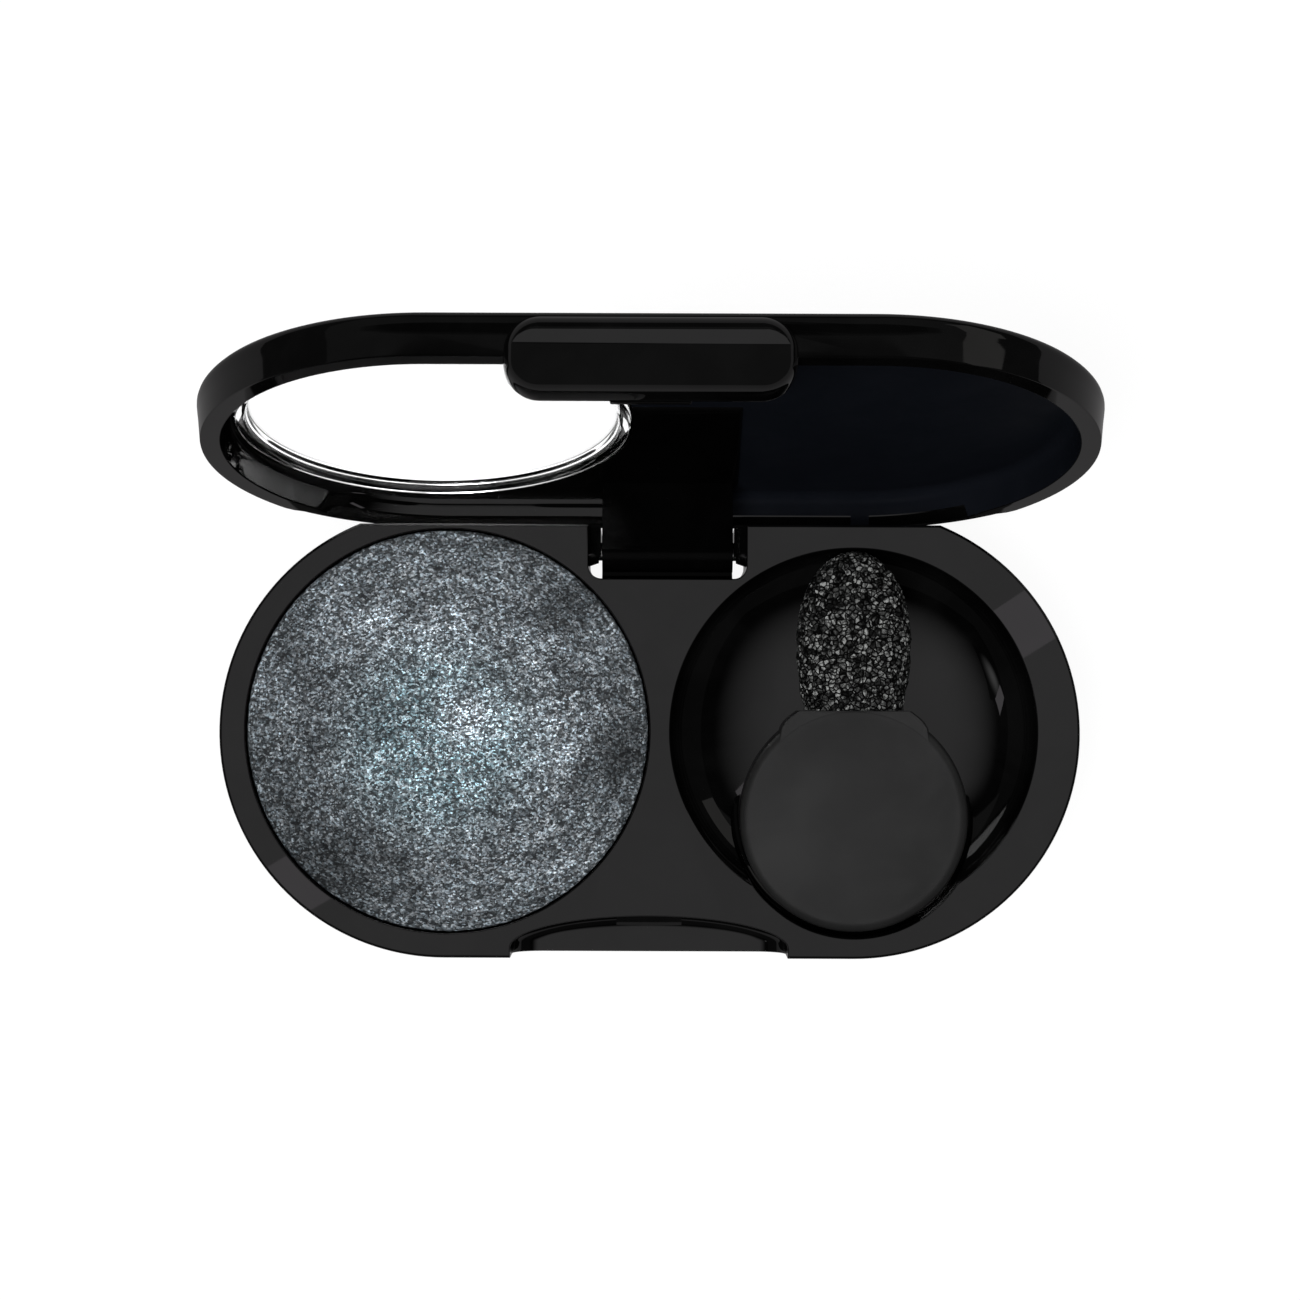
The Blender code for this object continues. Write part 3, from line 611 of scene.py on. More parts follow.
def tab_body():
    rows = [
        (0.75, 14.05),
        (0.55, 14.1),
        (0.30, 14.3),
        (0.12, 14.5),
        (0.0, 14.8),
        (0.0, 15.65),
        (0.03, 15.9),
        (0.1, 16.15),
        (0.22, 16.4),
        (0.38, 16.6),
        (0.58, 16.77),
        (0.8, 16.91),
        (1.05, 17.0),
        (1.3, 17.05),
    ]
    return lofted("tab", [tab_outline(i, -reach - HINGE_Y) for i, reach in rows])


def tab_face():
    """Sets the tab's front face back below the grip ridge along its top."""
    outline = [
        (-17.08, 1.5),
        (-16.80, 0.66),
        (-16.75, 0.5),
        (-16.75, -4.0),
        (-18.5, -4.0),
        (-18.5, 1.5),
    ]
    points = [(reach - HINGE_Y, lid_z(height)) for reach, height in outline]
    return prism("cut_tab", -12.0, 12.0, points)


def make_lid():
    half = ARM_HALF_WIDTH
    arm = box(
        "arm",
        (HINGE_X - half, -1.17, -0.21),
        (HINGE_X + half, 13.75 - HINGE_Y, lid_z(2.85)),
        0.06,
        2,
    )
    root = box(
        "root", (HINGE_X - 4.56, 0.0, lid_z(0.15)), (HINGE_X + 4.56, 2.583, lid_z(2.8))
    )
    heel = box(
        "heel", (HINGE_X - 4.57, -1.5, -1.15), (HINGE_X + 4.57, -0.11, -0.12), 0.05, 2
    )
    heel.data.transform(Matrix.Rotation(OPEN_ANGLE, 4, "X"))
    bead = box(
        "bead",
        (-2.6, -14.65 - HINGE_Y, lid_z(-2.35)),
        (2.6, -13.7 - HINGE_Y, lid_z(-1.95)),
        0.12,
        3,
    )
    low, high = HINGE_X - 4.58, HINGE_X + 4.58
    bore = rod("bore", low - 1, high + 1, 0.0, 0.0, BORE_RADIUS, BORE_RADIUS, 32)
    shell = lid_body()
    combine(
        shell,
        [
            (lid_cavity(), "DIFFERENCE"),
            (lip_plane(), "DIFFERENCE"),
            (pad_body(), "UNION"),
            (window_cutter(), "DIFFERENCE"),
            (arm, "UNION"),
            (root, "UNION"),
            (rod("barrel", low, high, 0.0, 0.0, 1.2, 1.2, 64), "UNION"),
            (heel, "UNION"),
            (tab_body(), "UNION"),
            (tab_face(), "DIFFERENCE"),
            (bead, "UNION"),
            (bore, "DIFFERENCE"),
        ],
    )
    soften(shell)
    # The lid is one gloss black moulding. Its arm, the pad beside the arm and its rear
    # lip get a matt near-black material that is painted shade.
    outer, inner, painted_shade_slot = range(3)
    # Inside, right of the arm, the lid gets a matt dark blue material that is a painted
    # dim blue reflection.
    finish_or_painted_light_of = []
    for face in shell.data.polygons:
        centre = face.center / MM
        beside = centre.x - HINGE_X
        y = centre.y + HINGE_Y
        arm = abs(beside) < 4.65 and -1.6 < centre.y < 2.6 and centre.z < lid_z(2.45)
        along = max(-HALF_SPACING, min(HALF_SPACING, centre.x))
        inward = math.hypot(centre.x - along, y)
        rear_lip = (
            centre.y > 11.0 - HINGE_Y and abs(centre.x) < 19 and centre.z < lid_z(0.4)
        )
        inside = inward < 14.75 and lid_z(0.03) < centre.z < lid_z(2.45)
        if arm or rear_lip or (inside and abs(beside) < 5.4):
            finish_or_painted_light_of.append(painted_shade_slot)
        else:
            finish_or_painted_light_of.append(inner if inside and beside > 0 else outer)
    placed(shell, "lid", ["lid_shell"], LID_PLASTIC, TO_OPEN)
    shell.data.materials.append(LID_INSIDE_PAINTED_REFLECTION)
    shell.data.materials.append(LID_ARM_PAINTED_SHADE)
    for face, finish in zip(shell.data.polygons, finish_or_painted_light_of):
        face.material_index = finish
    return shell


def make_lens():
    """The clear window: a raised rim inside, a shallow crown outside."""
    profile = []
    start = 12.73
    count = 24
    for i in range(count):
        t = i / count
        profile.append((start * t, lid_z(3.12 + 0.15 * (1 - t * t))))
    profile += [
        (start, lid_z(3.12)),
        (12.80, lid_z(3.10)),
        (12.86, lid_z(3.04)),
        (12.88, lid_z(2.97)),
        (12.88, lid_z(2.6)),
        (13.30, lid_z(2.6)),
        (13.36, lid_z(2.57)),
        (13.38, lid_z(2.5)),
        (13.38, lid_z(2.05)),
        (13.34, lid_z(1.95)),
        (13.23, lid_z(1.9)),
        (12.75, lid_z(1.9)),
        (12.64, lid_z(1.94)),
        (12.60, lid_z(2.05)),
        (12.45, lid_z(2.63)),
        (12.36, lid_z(2.7)),
        (12.0, lid_z(2.75)),
        (0.0, lid_z(2.75)),
    ]
    lens = turned("window_disc", WINDOW_AXIS, profile)
    soften(lens)
    return placed(lens, "lid", ["window_lens"], CLEAR, TO_OPEN)


# ---------------------------------------------------------------- powder


def make_powder():
    """A dome of many rings, with its grain, dents and crumbling edge in the mesh."""
    bm = bmesh.new()
    edge = DECK - 0.35
    start = 13.85
    profile = []
    rows = 120
    for i in range(rows):
        t = i / rows
        profile.append((start * t, edge + 1.25 * (1 - t * t), 1.0))
    profile += [
        (13.85, edge, 1.0),
        (13.93, edge - 0.06, 0.8),
        (13.98, edge - 0.16, 0.6),
        (14.0, edge - 0.30, 0.4),
        (13.95, DECK - 0.75, 0.2),
        (13.8, DECK - 0.86, 0.0),
        (13.0, DECK - 0.9, 0.0),
        (13.0, DECK - 3.1, 0.0),
        (12.85, DECK - 3.4, 0.0),
        (12.4, DECK - 3.6, 0.0),
        (0.0, DECK - 3.6, 0.0),
    ]
    steps = 520
    rings = []
    for r, z, grain in profile:
        if r < 1e-6:
            rings.append([bm.verts.new(Vector((*POWDER_CENTRE, z)) * MM)])
            continue
        ring = []
        for i in range(steps):
            a = 2 * math.pi * i / steps
            x, y = r * math.cos(a), r * math.sin(a)
            p = Vector((x, y, 0.0))
            dents = noise.fractal(p * 0.25, 0.9, 2.0, 3)
            fine = noise.noise(p * 4.0)
            pits = noise.noise(p * 1.6 + Vector((7.0, 3.0, 1.0)))
            rise = grain * (0.035 * dents + 0.022 * fine - 0.03 * max(0.0, pits - 0.25))
            rough = smooth((r - 13.2) / 0.7) * grain
            crumble = noise.noise(Vector((math.cos(a), math.sin(a), 0.3)) * 42.0)
            inward = rough * 0.10 * max(0.0, crumble + 0.1)
            scale = (r - inward) / r
            point = (
                POWDER_CENTRE[0] + x * scale,
                POWDER_CENTRE[1] + y * scale,
                z + rise - rough * 0.05 * abs(crumble),
            )
            ring.append(bm.verts.new(Vector(point) * MM))
        rings.append(ring)
    skinned(bm, rings, steps)
    cake = from_bmesh(bm, "powder_cake")
    cake.data.shade_smooth()
    return placed(cake, "base", ["baked_powder"], POWDER)


# ---------------------------------------------------------------- applicator


def oval_ring(y, half_width, half_thickness, middle, power=2.3, steps=72):
    points = []
    for i in range(steps):
        a = 2 * math.pi * i / steps
        c, s = math.cos(a), math.sin(a)
        x = half_width * math.copysign(abs(c) ** (2 / power), c)
        z = half_thickness * math.copysign(abs(s) ** (2 / power), s)
        points.append((HANDLE_CENTRE[0] + x, y, middle + z))
    return points


def tongue(name, gap):
    tip = 9.6 + gap
    rings = []
    for y, share in (
        (0.5 - gap, 1.0),
        (tip - 2.0, 0.92),
        (tip - 0.7, 0.75),
        (tip - 0.2, 0.6),
        (tip, 0.4),
    ):
        width = 2.0 * share + gap
        rings.append(oval_ring(y, width, 0.6 + gap, FOAM_MIDDLE, 3.0, 40))
    return lofted(name, rings)


def make_grip():
    bottom = DECK - 3.7
    radius = GRIP_RADIUS
    points = []
    count = 18
    for i in range(count):
        t = i / count
        points.append(
            ((radius - GRIP_FILLET) * t, DECK - 0.05 + 0.47 * (1 - t * t))
        )
    for i in range(13):
        a = math.pi / 2 * (1 - i / 12)
        points.append(
            (radius - GRIP_FILLET * (1 - math.cos(a)), DECK - 0.55 + 0.5 * math.sin(a))
        )
    points += [
        (radius, bottom + 0.9),
        (radius - 0.08, bottom + 0.6),
        (radius - 0.3, bottom + 0.3),
        (radius - 0.65, bottom + 0.08),
        (radius - 1.1, bottom),
        (0.0, bottom),
    ]
    grip = turned("applicator_grip", HANDLE_CENTRE, points)
    rings = []
    for inset, z in ((0.0, 6.4), (0.0, 8.68), (0.02, 8.78), (0.07, 8.87), (0.16, 8.92)):
        right = [
            (5.35 - inset, -1.0),
            (5.28 - inset, -0.3),
            (5.15 - inset, 0.4),
            (4.90 - inset, 0.8),
            (4.6 - inset, 1.1),
            (3.85 - inset, 1.66),
        ]
        outline = right + [(-x, y) for x, y in reversed(right)]
        rings.append([(HANDLE_CENTRE[0] + x, y, z) for x, y in outline])
    shoulder = lofted("shoulder", rings)
    flat = box(
        "flat",
        (HANDLE_CENTRE[0] - 8, GRIP_FLAT, 4.0),
        (HANDLE_CENTRE[0] + 8, 4.6, 11.0),
    )
    combine(
        grip,
        [
            (shoulder, "UNION"),
            (flat, "DIFFERENCE"),
            (tongue("tongue", 0.0), "UNION"),
        ],
    )
    soften(grip)
    return placed(
        grip, "applicator", ["applicator_handle"], HANDLE_PLASTIC
    )


def sponge_section(t):
    """Half width and half thickness at t along the foam, as shares of the largest."""
    base = 0.905 + 0.095 * smooth(t / 0.38)
    tip = max(0.0, (t - 0.38) / 0.62)
    rounding = math.sqrt(max(0.0, 1 - tip**2.4))
    width = base * rounding
    return width, min(1.0, width * 0.96 + 0.04)


def make_foam():
    """The foam tip: blunt at the grip, bullet-shaped at its end, pebbled all over."""
    middle, start, tip = FOAM_MIDDLE, FOAM_START, FOAM_TIP
    rows, steps = 150, 200
    bm = bmesh.new()
    rings = []
    for i in range(rows + 1):
        t = math.sin(math.pi / 2 * i / rows)
        width, thickness = sponge_section(min(t, 0.9985))
        ring = []
        y = start + (tip - start) * t
        fillet = smooth(min(1.0, i / rows * 14.0))
        shrink = 0.97 + 0.03 * fillet
        for point in oval_ring(
            y, 4.03 * width * shrink, 2.15 * thickness * shrink, 0.0, 2.3, steps
        ):
            p = Vector((point[0] - HANDLE_CENTRE[0], point[1], point[2]))
            out = Vector((p.x, 0.0, p.z * 2.0))
            out.normalize()
            cells = noise.noise(p * 3.1)
            lumps = noise.fractal(p * 0.9 + Vector((3.0, 9.0, 2.0)), 0.8, 2.0, 3)
            fine = noise.noise(p * 6.0)
            push = -0.06 + 0.08 * lumps + 0.07 * cells + 0.05 * fine
            ring.append(
                (
                    point[0] + out.x * push,
                    y + 0.03 * cells,
                    middle + 0.45 * t + point[2] + out.z * push,
                )
            )
        rings.append([bm.verts.new(Vector(q) * MM) for q in ring])
    for low, high in zip(rings, rings[1:]):
        for i in range(steps):
            j = (i + 1) % steps
            bm.faces.new((low[i], low[j], high[j], high[i]))
    for ring in (rings[0], rings[-1]):
        centre = sum((v.co for v in ring), Vector()) / steps
        middle_vertex = bm.verts.new(centre)
        for i in range(steps):
            bm.faces.new((ring[i], ring[(i + 1) % steps], middle_vertex))
    foam = from_bmesh(bm, "foam_tip")
    combine(foam, [(tongue("pocket", 0.25), "DIFFERENCE")])
    foam.data.shade_smooth()
    foam.data.set_sharp_from_angle(angle=math.radians(70))
    placed(foam, "applicator", ["applicator_sponge"], FOAM)
    return foam


# ---------------------------------------------------------------- materials


class Nodes:
    """A material with a Principled shader, and short calls that add nodes to it."""

    def __init__(self, name, **sockets):
        self.material = bpy.data.materials.new(name)
        self.material.use_nodes = True
        self.tree = self.material.node_tree
        self.shader = self.tree.nodes["Principled BSDF"]
        for key, value in sockets.items():
            self.shader.inputs[key.replace("_", " ")].default_value = value
        self.place = self.add("ShaderNodeTexCoord").outputs["Object"]

    def add(self, kind, **values):
        node = self.tree.nodes.new(kind)
        for key, value in values.items():
            setattr(node, key, value)
        return node

    def join(self, output, socket):
        self.tree.links.new(output, socket)

    def give(self, node, key, value):
        """Sets an input to a number or a colour, or links an output to it."""
        if hasattr(value, "is_output"):
            self.join(value, node.inputs[key])
        else:
            node.inputs[key].default_value = value

    def into(self, key, value):
        self.give(self.shader, key, value)

    def noise(self, scale, detail=3.0, rough=0.55, place=None, distortion=0.0):
        node = self.add("ShaderNodeTexNoise")
        self.give(node, "Vector", place or self.place)
        self.give(node, "Scale", scale)
        self.give(node, "Detail", detail)
        self.give(node, "Roughness", rough)
        self.give(node, "Distortion", distortion)
        return node.outputs["Fac"]

    def cells(self, scale, place=None, output="Color", feature="F1"):
        node = self.add("ShaderNodeTexVoronoi", feature=feature)
        self.give(node, "Vector", place or self.place)
        self.give(node, "Scale", scale)
        return node.outputs[output]

    def math(self, operation, a, b=0.0, c=0.0, clamp=False):
        node = self.add("ShaderNodeMath", operation=operation, use_clamp=clamp)
        for index, value in enumerate((a, b, c)):
            if index < len(node.inputs):
                self.give(node, index, value)
        return node.outputs[0]

    def span(self, value, low, high, to_low=0.0, to_high=1.0, soft=True):
        node = self.add("ShaderNodeMapRange")
        node.interpolation_type = "SMOOTHSTEP" if soft else "LINEAR"
        for key, number in (
            ("Value", value),
            ("From Min", low),
            ("From Max", high),
            ("To Min", to_low),
            ("To Max", to_high),
        ):
            self.give(node, key, number)
        return node.outputs["Result"]

    def mix(self, factor, a, b, blend="MIX"):
        node = self.add("ShaderNodeMix", data_type="RGBA", blend_type=blend)
        self.give(node, 0, factor)
        self.give(node, 6, a)
        self.give(node, 7, b)
        return node.outputs[2]

    def split(self, vector):
        node = self.add("ShaderNodeSeparateXYZ")
        self.join(vector, node.inputs[0])
        return node.outputs

    def combine(self, x, y, z):
        node = self.add("ShaderNodeCombineXYZ")
        for index, value in enumerate((x, y, z)):
            self.give(node, index, value)
        return node.outputs[0]

    def bump(self, height, strength, distance, before=None):
        node = self.add("ShaderNodeBump")
        self.give(node, "Height", height)
        self.give(node, "Strength", strength)
        self.give(node, "Distance", distance)
        if before is not None:
            self.give(node, "Normal", before)
        return node.outputs["Normal"]


def grey(value, tint=(1.0, 1.0, 1.0)):
    return (value * tint[0], value * tint[1], value * tint[2], 1.0)


def moulded(
    name, dark, light, rough_low, rough_high, bump, grain=9000.0, rub=500.0, shine=0.5
):
    """Black moulded plastic: faint flow marks, rubbed patches and fine grain."""
    n = Nodes(name, IOR=1.5, Specular_IOR_Level=shine)
    flow = n.noise(rub * 0.35, 3.0, 0.6, distortion=0.6)
    rubbed = n.noise(rub, 4.0, 0.6)
    fine = n.noise(grain, 2.0, 0.5)
    n.into("Base Color", n.mix(n.span(flow, 0.35, 0.7), dark, light))
    n.into("Roughness", n.span(rubbed, 0.3, 0.75, rough_low, rough_high))
    n.into("Normal", n.bump(fine, bump, 0.00001))
    return n.material


def clear_material():
    n = Nodes("clear_window", IOR=1.49, Transmission_Weight=1.0)
    smear = n.noise(260.0, 4.0, 0.6)
    n.into("Base Color", n.mix(smear, (0.98, 0.985, 0.99, 1.0), (1.0, 1.0, 1.0, 1.0)))
    n.into("Roughness", n.span(smear, 0.4, 0.8, 0.0, 0.015))
    return n.material


def powder_material():
    """Slate powder full of flakes: a pale core that is a painted highlight, teal around
    it, swirls, and patches of painted light and shade over its own marbled tone.
    """
    n = Nodes("baked_glitter_powder")
    x, y, z = n.split(n.place)

    def reach_from(centre_x, centre_y):
        dx = n.math("ADD", x, -centre_x * MM)
        dy = n.math("ADD", y, -centre_y * MM)
        square = n.math("ADD", n.math("MULTIPLY", dx, dx), n.math("MULTIPLY", dy, dy))
        return n.math("POWER", square, 0.5), n.math("ARCTAN2", dy, dx)

    reach, turn = reach_from(*POWDER_CENTRE)
    core, _ = reach_from(-12.6, 1.2)
    teal_at, _ = reach_from(-14.9, -0.6)
    swirl = n.combine(reach, n.math("MULTIPLY", turn, 0.004), 0.0)
    broad = n.noise(130.0, 3.0, 0.55, distortion=0.6)
    arcs = n.noise(780.0, 5.0, 0.7, place=swirl, distortion=0.4)
    fine_arcs = n.noise(3200.0, 3.0, 0.65, place=swirl, distortion=0.5)
    stretched = n.combine(n.math("MULTIPLY", x, 0.8), y, z)
    flakes = n.split(n.cells(8200.0, place=stretched, output="Color"))
    curved = n.combine(reach, n.math("MULTIPLY", turn, 0.0055), 0.0)
    even_grain = n.noise(7600.0, 2.0, 0.6, distortion=0.5)
    swept_grain = n.noise(8200.0, 2.0, 0.6, place=curved)
    grain = n.mix(n.span(reach, 0.003, 0.009, 0.1, 0.75), even_grain, swept_grain)
    # Painted highlight: the powder is lighter about its core.
    glow = n.math(
        "ADD",
        n.span(core, 0.0030, 0.0125, 0.095, 0.0),
        n.span(core, 0.0, 0.0042, 0.13, 0.0),
    )
    level = n.math("ADD", glow, 0.105)
    # Painted light and shade over the powder's own marbled tone: lighter and darker
    # patches at fixed places.
    for spot_x, spot_y, spot_size, gain in (
        (-5.8, 9.0, 5.5, 0.46),
        (-2.2, -0.5, 3.2, 0.50),
        (-22.6, -8.4, 6.0, 0.48),
        (-20.0, 9.2, 5.5, 1.65),
        (-5.2, -9.4, 5.5, 1.60),
        (-13.5, -11.5, 3.0, 1.25),
    ):
        away, _ = reach_from(spot_x, spot_y)
        drift = n.math("MULTIPLY", n.math("ADD", broad, -0.5), 0.008)
        wobble = n.math("ADD", away, drift)
        level = n.math("MULTIPLY", level, n.span(wobble, 0.0, spot_size * MM, gain, 1.0))
    level = n.math("MULTIPLY", level, n.span(broad, 0.36, 0.66, 0.74, 1.22))
    level = n.math("MULTIPLY", level, n.span(arcs, 0.36, 0.64, 0.66, 1.38))
    level = n.math("MULTIPLY", level, n.span(fine_arcs, 0.34, 0.66, 0.66, 1.38))
    glint = n.math("POWER", flakes[0], 2.4)
    glint = n.math("MULTIPLY", glint, n.span(grain, 0.36, 0.62, 0.35, 2.5))
    glint = n.math("ADD", n.math("MULTIPLY", glint, 2.1), 0.20)
    bright = n.math("MULTIPLY", level, glint)
    near_teal = n.math(
        "MULTIPLY",
        n.span(teal_at, 0.003, 0.009, 0.9, 0.0),
        n.span(core, 0.0005, 0.0035, 0.1, 1.0),
    )
    slate = n.mix(flakes[1], (0.80, 0.98, 1.12, 1.0), (0.94, 1.0, 1.05, 1.0))
    teal = n.mix(flakes[2], (0.60, 1.0, 1.16, 1.0), (0.88, 1.0, 1.06, 1.0))
    colour = n.mix(near_teal, slate, teal)
    n.into("Base Color", n.mix(1.0, colour, bright, "MULTIPLY"))
    n.into("Roughness", n.span(flakes[0], 0.0, 1.0, 0.75, 0.5))
    n.into("Normal", n.bump(grain, 0.5, 0.00006))
    return n.material


def foam_material():
    """Black foam skin: small glossy pebbles whose lighter tops are a painted highlight,
    with painted shade in the black creases between them.
    """
    n = Nodes("black_foam", IOR=1.45, Specular_IOR_Level=0.07)
    warp = n.add("ShaderNodeTexNoise")
    n.give(warp, "Vector", n.place)
    n.give(warp, "Scale", 1500.0)
    shift = n.add("ShaderNodeVectorMath", operation="SCALE")
    n.join(warp.outputs["Color"], shift.inputs[0])
    shift.inputs["Scale"].default_value = 0.00035
    bent = n.add("ShaderNodeVectorMath", operation="ADD")
    n.join(n.place, bent.inputs[0])
    n.join(shift.outputs[0], bent.inputs[1])
    place = bent.outputs[0]
    pebbles = 2700.0
    crease = n.cells(
        pebbles, place=place, output="Distance", feature="DISTANCE_TO_EDGE"
    )
    pick = n.split(n.cells(pebbles, place=place, output="Color"))[0]
    worm = n.noise(2300.0, 3.0, 0.6, place=place)
    # Painted highlight on the pebble tops and painted shade in the creases between them.
    top = n.math(
        "MULTIPLY", n.span(crease, 0.02, 0.16), n.span(worm, 0.40, 0.56, 0.30, 1.0)
    )
    level = n.math("MULTIPLY", top, n.span(pick, 0.0, 1.0, 0.18, 1.0))
    # Painted glints: fine specks brighten the pebbles.
    painted_glint_speck = n.noise(5200.0, 2.0, 0.6, place=place)
    level = n.math(
        "MULTIPLY", n.math("POWER", level, 1.5), n.span(painted_glint_speck, 0.36, 0.62, 0.25, 1.6)
    )
    n.into("Base Color", n.mix(level, grey(0.0010), grey(0.34, (0.98, 1.0, 0.98))))
    n.into("Roughness", n.span(worm, 0.3, 0.7, 0.3, 0.5))
    n.into("Normal", n.bump(top, 0.9, 0.00016))
    return n.material


def metal_material(name, colour, rough, stretch):
    n = Nodes(name, Metallic=1.0)
    x, y, z = n.split(n.place)
    drawn = n.combine(
        n.math("MULTIPLY", x, stretch[0]),
        n.math("MULTIPLY", y, stretch[1]),
        n.math("MULTIPLY", z, stretch[2]),
    )
    lines = n.noise(3000.0, 4.0, 0.7, place=drawn)
    n.into("Base Color", n.mix(lines, grey(colour * 0.85), grey(colour)))
    n.into("Roughness", n.span(lines, 0.3, 0.7, rough, rough + 0.15))
    n.into("Normal", n.bump(lines, 0.3, 0.00002))
    return n.material


def matte_material(name, low, high, rough, scale):
    n = Nodes(name)
    fibres = n.noise(scale, 5.0, 0.7)
    n.into("Base Color", n.mix(fibres, low, high))
    n.into("Roughness", n.span(fibres, 0.3, 0.7, rough, rough + 0.15))
    n.into("Normal", n.bump(fibres, 0.4, 0.00003))
    return n.material


BASE_PLASTIC = moulded("base_black", grey(0.0012), grey(0.0028), 0.015, 0.03, 0.004)
LID_PLASTIC = moulded("lid_black", grey(0.0010), grey(0.0022), 0.03, 0.06, 0.008)
# Painted reflection: a matt dark blue for the lid's inside right of the arm, on what is
# gloss black plastic.
LID_INSIDE_PAINTED_REFLECTION = moulded(
    "lid_inside_painted_reflection",
    (0.0052, 0.0062, 0.0088, 1.0),
    (0.0064, 0.0074, 0.0104, 1.0),
    0.3,
    0.4,
    0.02,
    shine=0.02,
)
# Painted shade: a near-black, almost glossless material for the lid's arm, pad and rear
# lip.
LID_ARM_PAINTED_SHADE = moulded(
    "lid_arm_painted_shade", grey(0.0007), grey(0.0012), 0.12, 0.2, 0.02, shine=0.04
)
HANDLE_PLASTIC = moulded(
    "grip_black", grey(0.013), grey(0.017), 0.28, 0.38, 0.06, shine=0.35
)
CLEAR = clear_material()
POWDER = powder_material()
FOAM = foam_material()


# ---------------------------------------------------------------- pieces

make_base()
cake = make_powder()
grip = make_grip()
foam = make_foam()
make_lid()
make_lens()
for piece in (cake, grip, foam):
    piece.visible_glossy = False

finishes = {
    "bottom_plate": moulded(
        "plate_black", grey(0.008), grey(0.014), 0.45, 0.6, 0.5, 14000.0
    ),
    "powder_pan": metal_material("pan_metal", 0.75, 0.3, (0.2, 1.0, 1.0)),
    "hinge_pin": metal_material("pin_metal", 0.5, 0.25, (0.1, 1.0, 1.0)),
    "pan_adhesive": matte_material(
        "set_glue", (0.8, 0.8, 0.72, 1.0), (0.9, 0.9, 0.84, 1.0), 0.5, 400.0
    ),
    "shade_label": matte_material(
        "label_stock", (0.80, 0.80, 0.79, 1.0), (0.88, 0.88, 0.87, 1.0), 0.55, 3000.0
    ),
}
for node, finish in finishes.items():
    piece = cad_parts[node]
    piece.data.materials.clear()
    piece.data.materials.append(finish)


# ---------------------------------------------------------------- studio

CAMERA_PLACE = (0.000007, 0.005787, 0.24925)
DECK_TO_CAMERA = 0.24025


def glowing(name, colour, strength, diffuse=0.0):
    made = bpy.data.materials.new(name)
    made.use_nodes = True
    shader = made.node_tree.nodes["Principled BSDF"]
    shader.inputs["Base Color"].default_value = grey(diffuse)
    shader.inputs["Roughness"].default_value = 1.0
    shader.inputs["Specular IOR Level"].default_value = 0.0
    shader.inputs["Emission Color"].default_value = (*colour, 1.0)
    shader.inputs["Emission Strength"].default_value = strength
    return made


def panel(name, corners, material, glossy_only=True):
    mesh = bpy.data.meshes.new(name)
    mesh.from_pydata([Vector(c) for c in corners], [], [range(len(corners))])
    mesh.materials.append(material)
    made = linked(mesh, name)
    if glossy_only:
        made.visible_camera = False
        made.visible_diffuse = False
        made.visible_transmission = False
        made.visible_shadow = False
    return made


def deck_mirror(points, height):
    """Corners of a panel at that height whose mirror image covers these deck points."""
    corners = []
    for x, y in points:
        share = 1 + (height - DECK * MM) / DECK_TO_CAMERA
        from_camera = (y * MM - CAMERA_PLACE[1]) * share
        corners.append((x * MM * share, CAMERA_PLACE[1] + from_camera, height))
    return corners


def ground(height, side=3):
    """Corners of a level square."""
    return [
        (-side, -side, height),
        (side, -side, height),
        (side, side, height),
        (-side, side, height),
    ]


# The ground once for each kind of ray: the camera's, those through the window, the gloss.
floor = panel(
    "floor",
    ground(-0.00002),
    glowing("floor_white", (1.0, 1.0, 1.0), 0.93, 0.12),
    False,
)
floor.visible_glossy = False
floor.visible_transmission = False
through = panel(
    "white_through",
    ground(-0.0009),
    glowing("through_white", (1.0, 1.0, 1.0), 1.4),
)
through.visible_glossy = False
through.visible_transmission = True
panel(
    "ground_glow",
    ground(-0.0006),
    glowing("ground_grey", (1.0, 0.98, 0.99), 0.21),
)


def faded(name, colour, strength, spans, round_at=None):
    """A glow that fades out along X and Y, or away from a point, in metres."""
    n = Nodes(name, Roughness=1.0, Specular_IOR_Level=0.0)
    n.into("Base Color", grey(0.0))
    n.into("Emission Color", (*colour, 1.0))
    x, y, z = n.split(n.place)
    if round_at is not None:
        dx = n.math("ADD", x, -round_at[0])
        dy = n.math("ADD", y, -round_at[1])
        square = n.math("ADD", n.math("MULTIPLY", dx, dx), n.math("MULTIPLY", dy, dy))
        share = n.span(n.math("POWER", square, 0.5), spans[0], spans[1], 1.0, 0.0)
    else:
        (left, left_end), (right, right_end), (front, front_end), (rear, rear_end) = spans
        share = n.span(x, left_end, left)
        share = n.math("MULTIPLY", share, n.span(x, right, right_end, 1.0, 0.0))
        share = n.math("MULTIPLY", share, n.span(y, front_end, front))
        share = n.math("MULTIPLY", share, n.span(y, rear, rear_end, 1.0, 0.0))
    n.into("Emission Strength", n.math("MULTIPLY", share, strength))
    return n.material


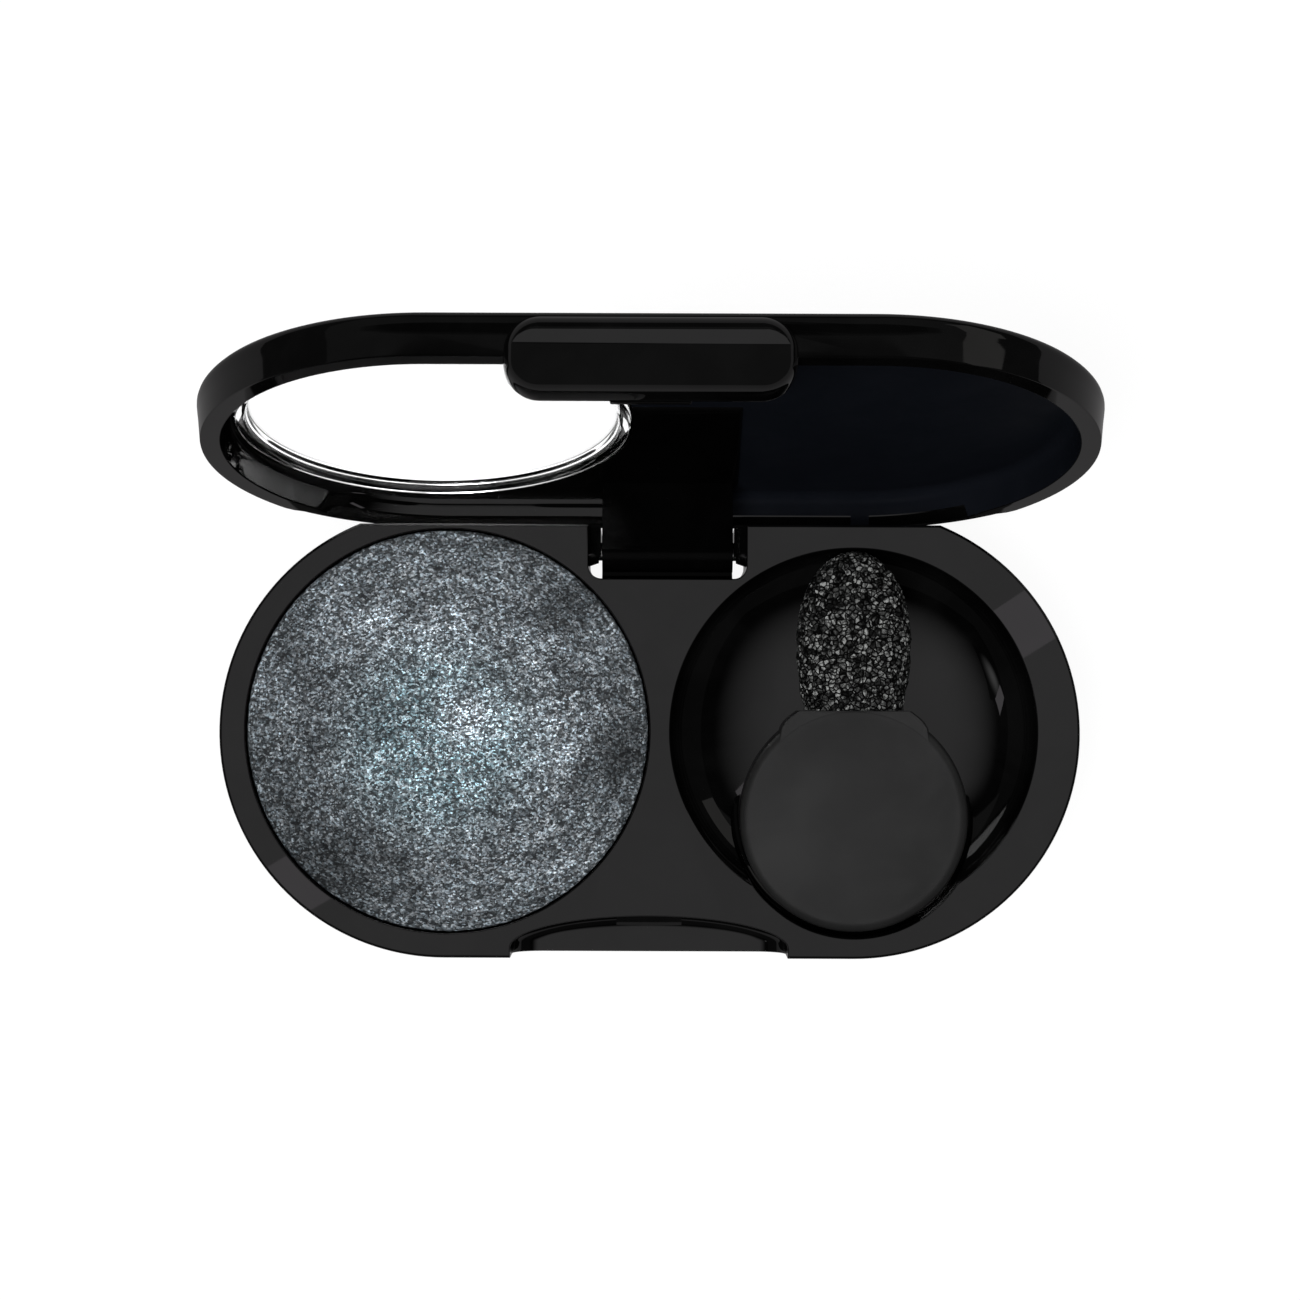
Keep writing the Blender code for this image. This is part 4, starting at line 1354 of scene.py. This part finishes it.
HEIGHT = 0.6
panel(
    "overhead",
    [
        (-0.7, -0.7, HEIGHT),
        (-0.7, 0.32, HEIGHT),
        (0.7, 0.32, HEIGHT),
        (0.7, -0.7, HEIGHT),
    ],
    faded(
        "overhead_soft",
        (1.0, 0.99, 1.0),
        0.56,
        ((-0.12, -0.50), (0.12, 0.50), (-0.12, -0.50), (0.10, 0.26)),
    ),
)
panel(
    "rear_sky",
    [
        (-0.8, 0.33, HEIGHT),
        (-0.8, 1.4, HEIGHT),
        (0.8, 1.4, HEIGHT),
        (0.8, 0.33, HEIGHT),
    ],
    glowing("rear_dim", (1.0, 1.0, 1.0), 0.09),
)
panel(
    "lamp_left",
    [
        (-0.62, -0.35, HEIGHT - 0.02),
        (-0.62, -0.12, HEIGHT - 0.02),
        (-0.39, -0.12, HEIGHT - 0.02),
        (-0.39, -0.35, HEIGHT - 0.02),
    ],
    faded("lamp_soft", (1.0, 1.0, 1.0), 0.9, (0.0, 0.115), (-0.507, -0.238)),
)
panel(
    "right_rear",
    [(0.36, 0.4, 0.2), (0.36, 0.4, 0.42), (0.5, 0.2, 0.42), (0.5, 0.2, 0.2)],
    glowing("right_soft", (1.0, 0.98, 0.95), 0.38),
)
BAND_HEIGHT = 0.055
panel(
    "band_left",
    deck_mirror(
        [(-27.9, -10.2), (-17.0, -3.7), (-14.3, -6.9), (-25.2, -13.4)], BAND_HEIGHT
    ),
    glowing("band", (1.0, 0.95, 1.0), 1.02),
)
panel(
    "band_right",
    deck_mirror([(19.0, 5.3), (29.0, 12.0), (31.0, 8.4), (21.0, 2.2)], BAND_HEIGHT),
    bpy.data.materials["band"],
)


def area_light(name, place, aim, size, watts):
    light = bpy.data.lights.new(name, "AREA")
    light.shape = "SQUARE"
    light.size = size
    light.energy = watts
    made = bpy.data.objects.new(name, light)
    bpy.context.scene.collection.objects.link(made)
    made.location = place
    towards = Vector(aim) - Vector(place)
    made.rotation_euler = towards.to_track_quat("-Z", "Y").to_euler()
    made.visible_glossy = False
    made.visible_camera = False
    return made


area_light("key", (-0.15, -0.10, 0.55), (0, 0, 0.01), 0.30, 2.6)
area_light("fill", (0.25, 0.15, 0.50), (0, 0, 0.01), 0.40, 1.0)

# White to the camera and through the window, and almost dark to every other ray.
world = bpy.data.worlds.new("studio")
bpy.context.scene.world = world
world.use_nodes = True
tree = world.node_tree
background = tree.nodes["Background"]
path = tree.nodes.new("ShaderNodeLightPath")
seen = tree.nodes.new("ShaderNodeMath")
seen.operation = "MAXIMUM"
level = tree.nodes.new("ShaderNodeMapRange")
level.inputs["To Min"].default_value = 0.03
level.inputs["To Max"].default_value = 1.0
tree.links.new(path.outputs["Is Camera Ray"], seen.inputs[0])
tree.links.new(path.outputs["Is Transmission Ray"], seen.inputs[1])
tree.links.new(seen.outputs[0], level.inputs["Value"])
tree.links.new(level.outputs["Result"], background.inputs["Strength"])
background.inputs["Color"].default_value = (1.0, 1.0, 1.0, 1.0)

camera = bpy.data.cameras.new("camera")
camera.lens = 95.5
camera.sensor_width = 36.0
camera.clip_start = 0.01
camera.clip_end = 20.0
view = bpy.data.objects.new("camera", camera)
bpy.context.scene.collection.objects.link(view)
view.location = CAMERA_PLACE
view.rotation_euler = (0.0, 0.0, 0.00346)
bpy.context.scene.camera = view
bpy.context.scene.view_settings.view_transform = "Standard"
bpy.context.scene.view_settings.look = "None"
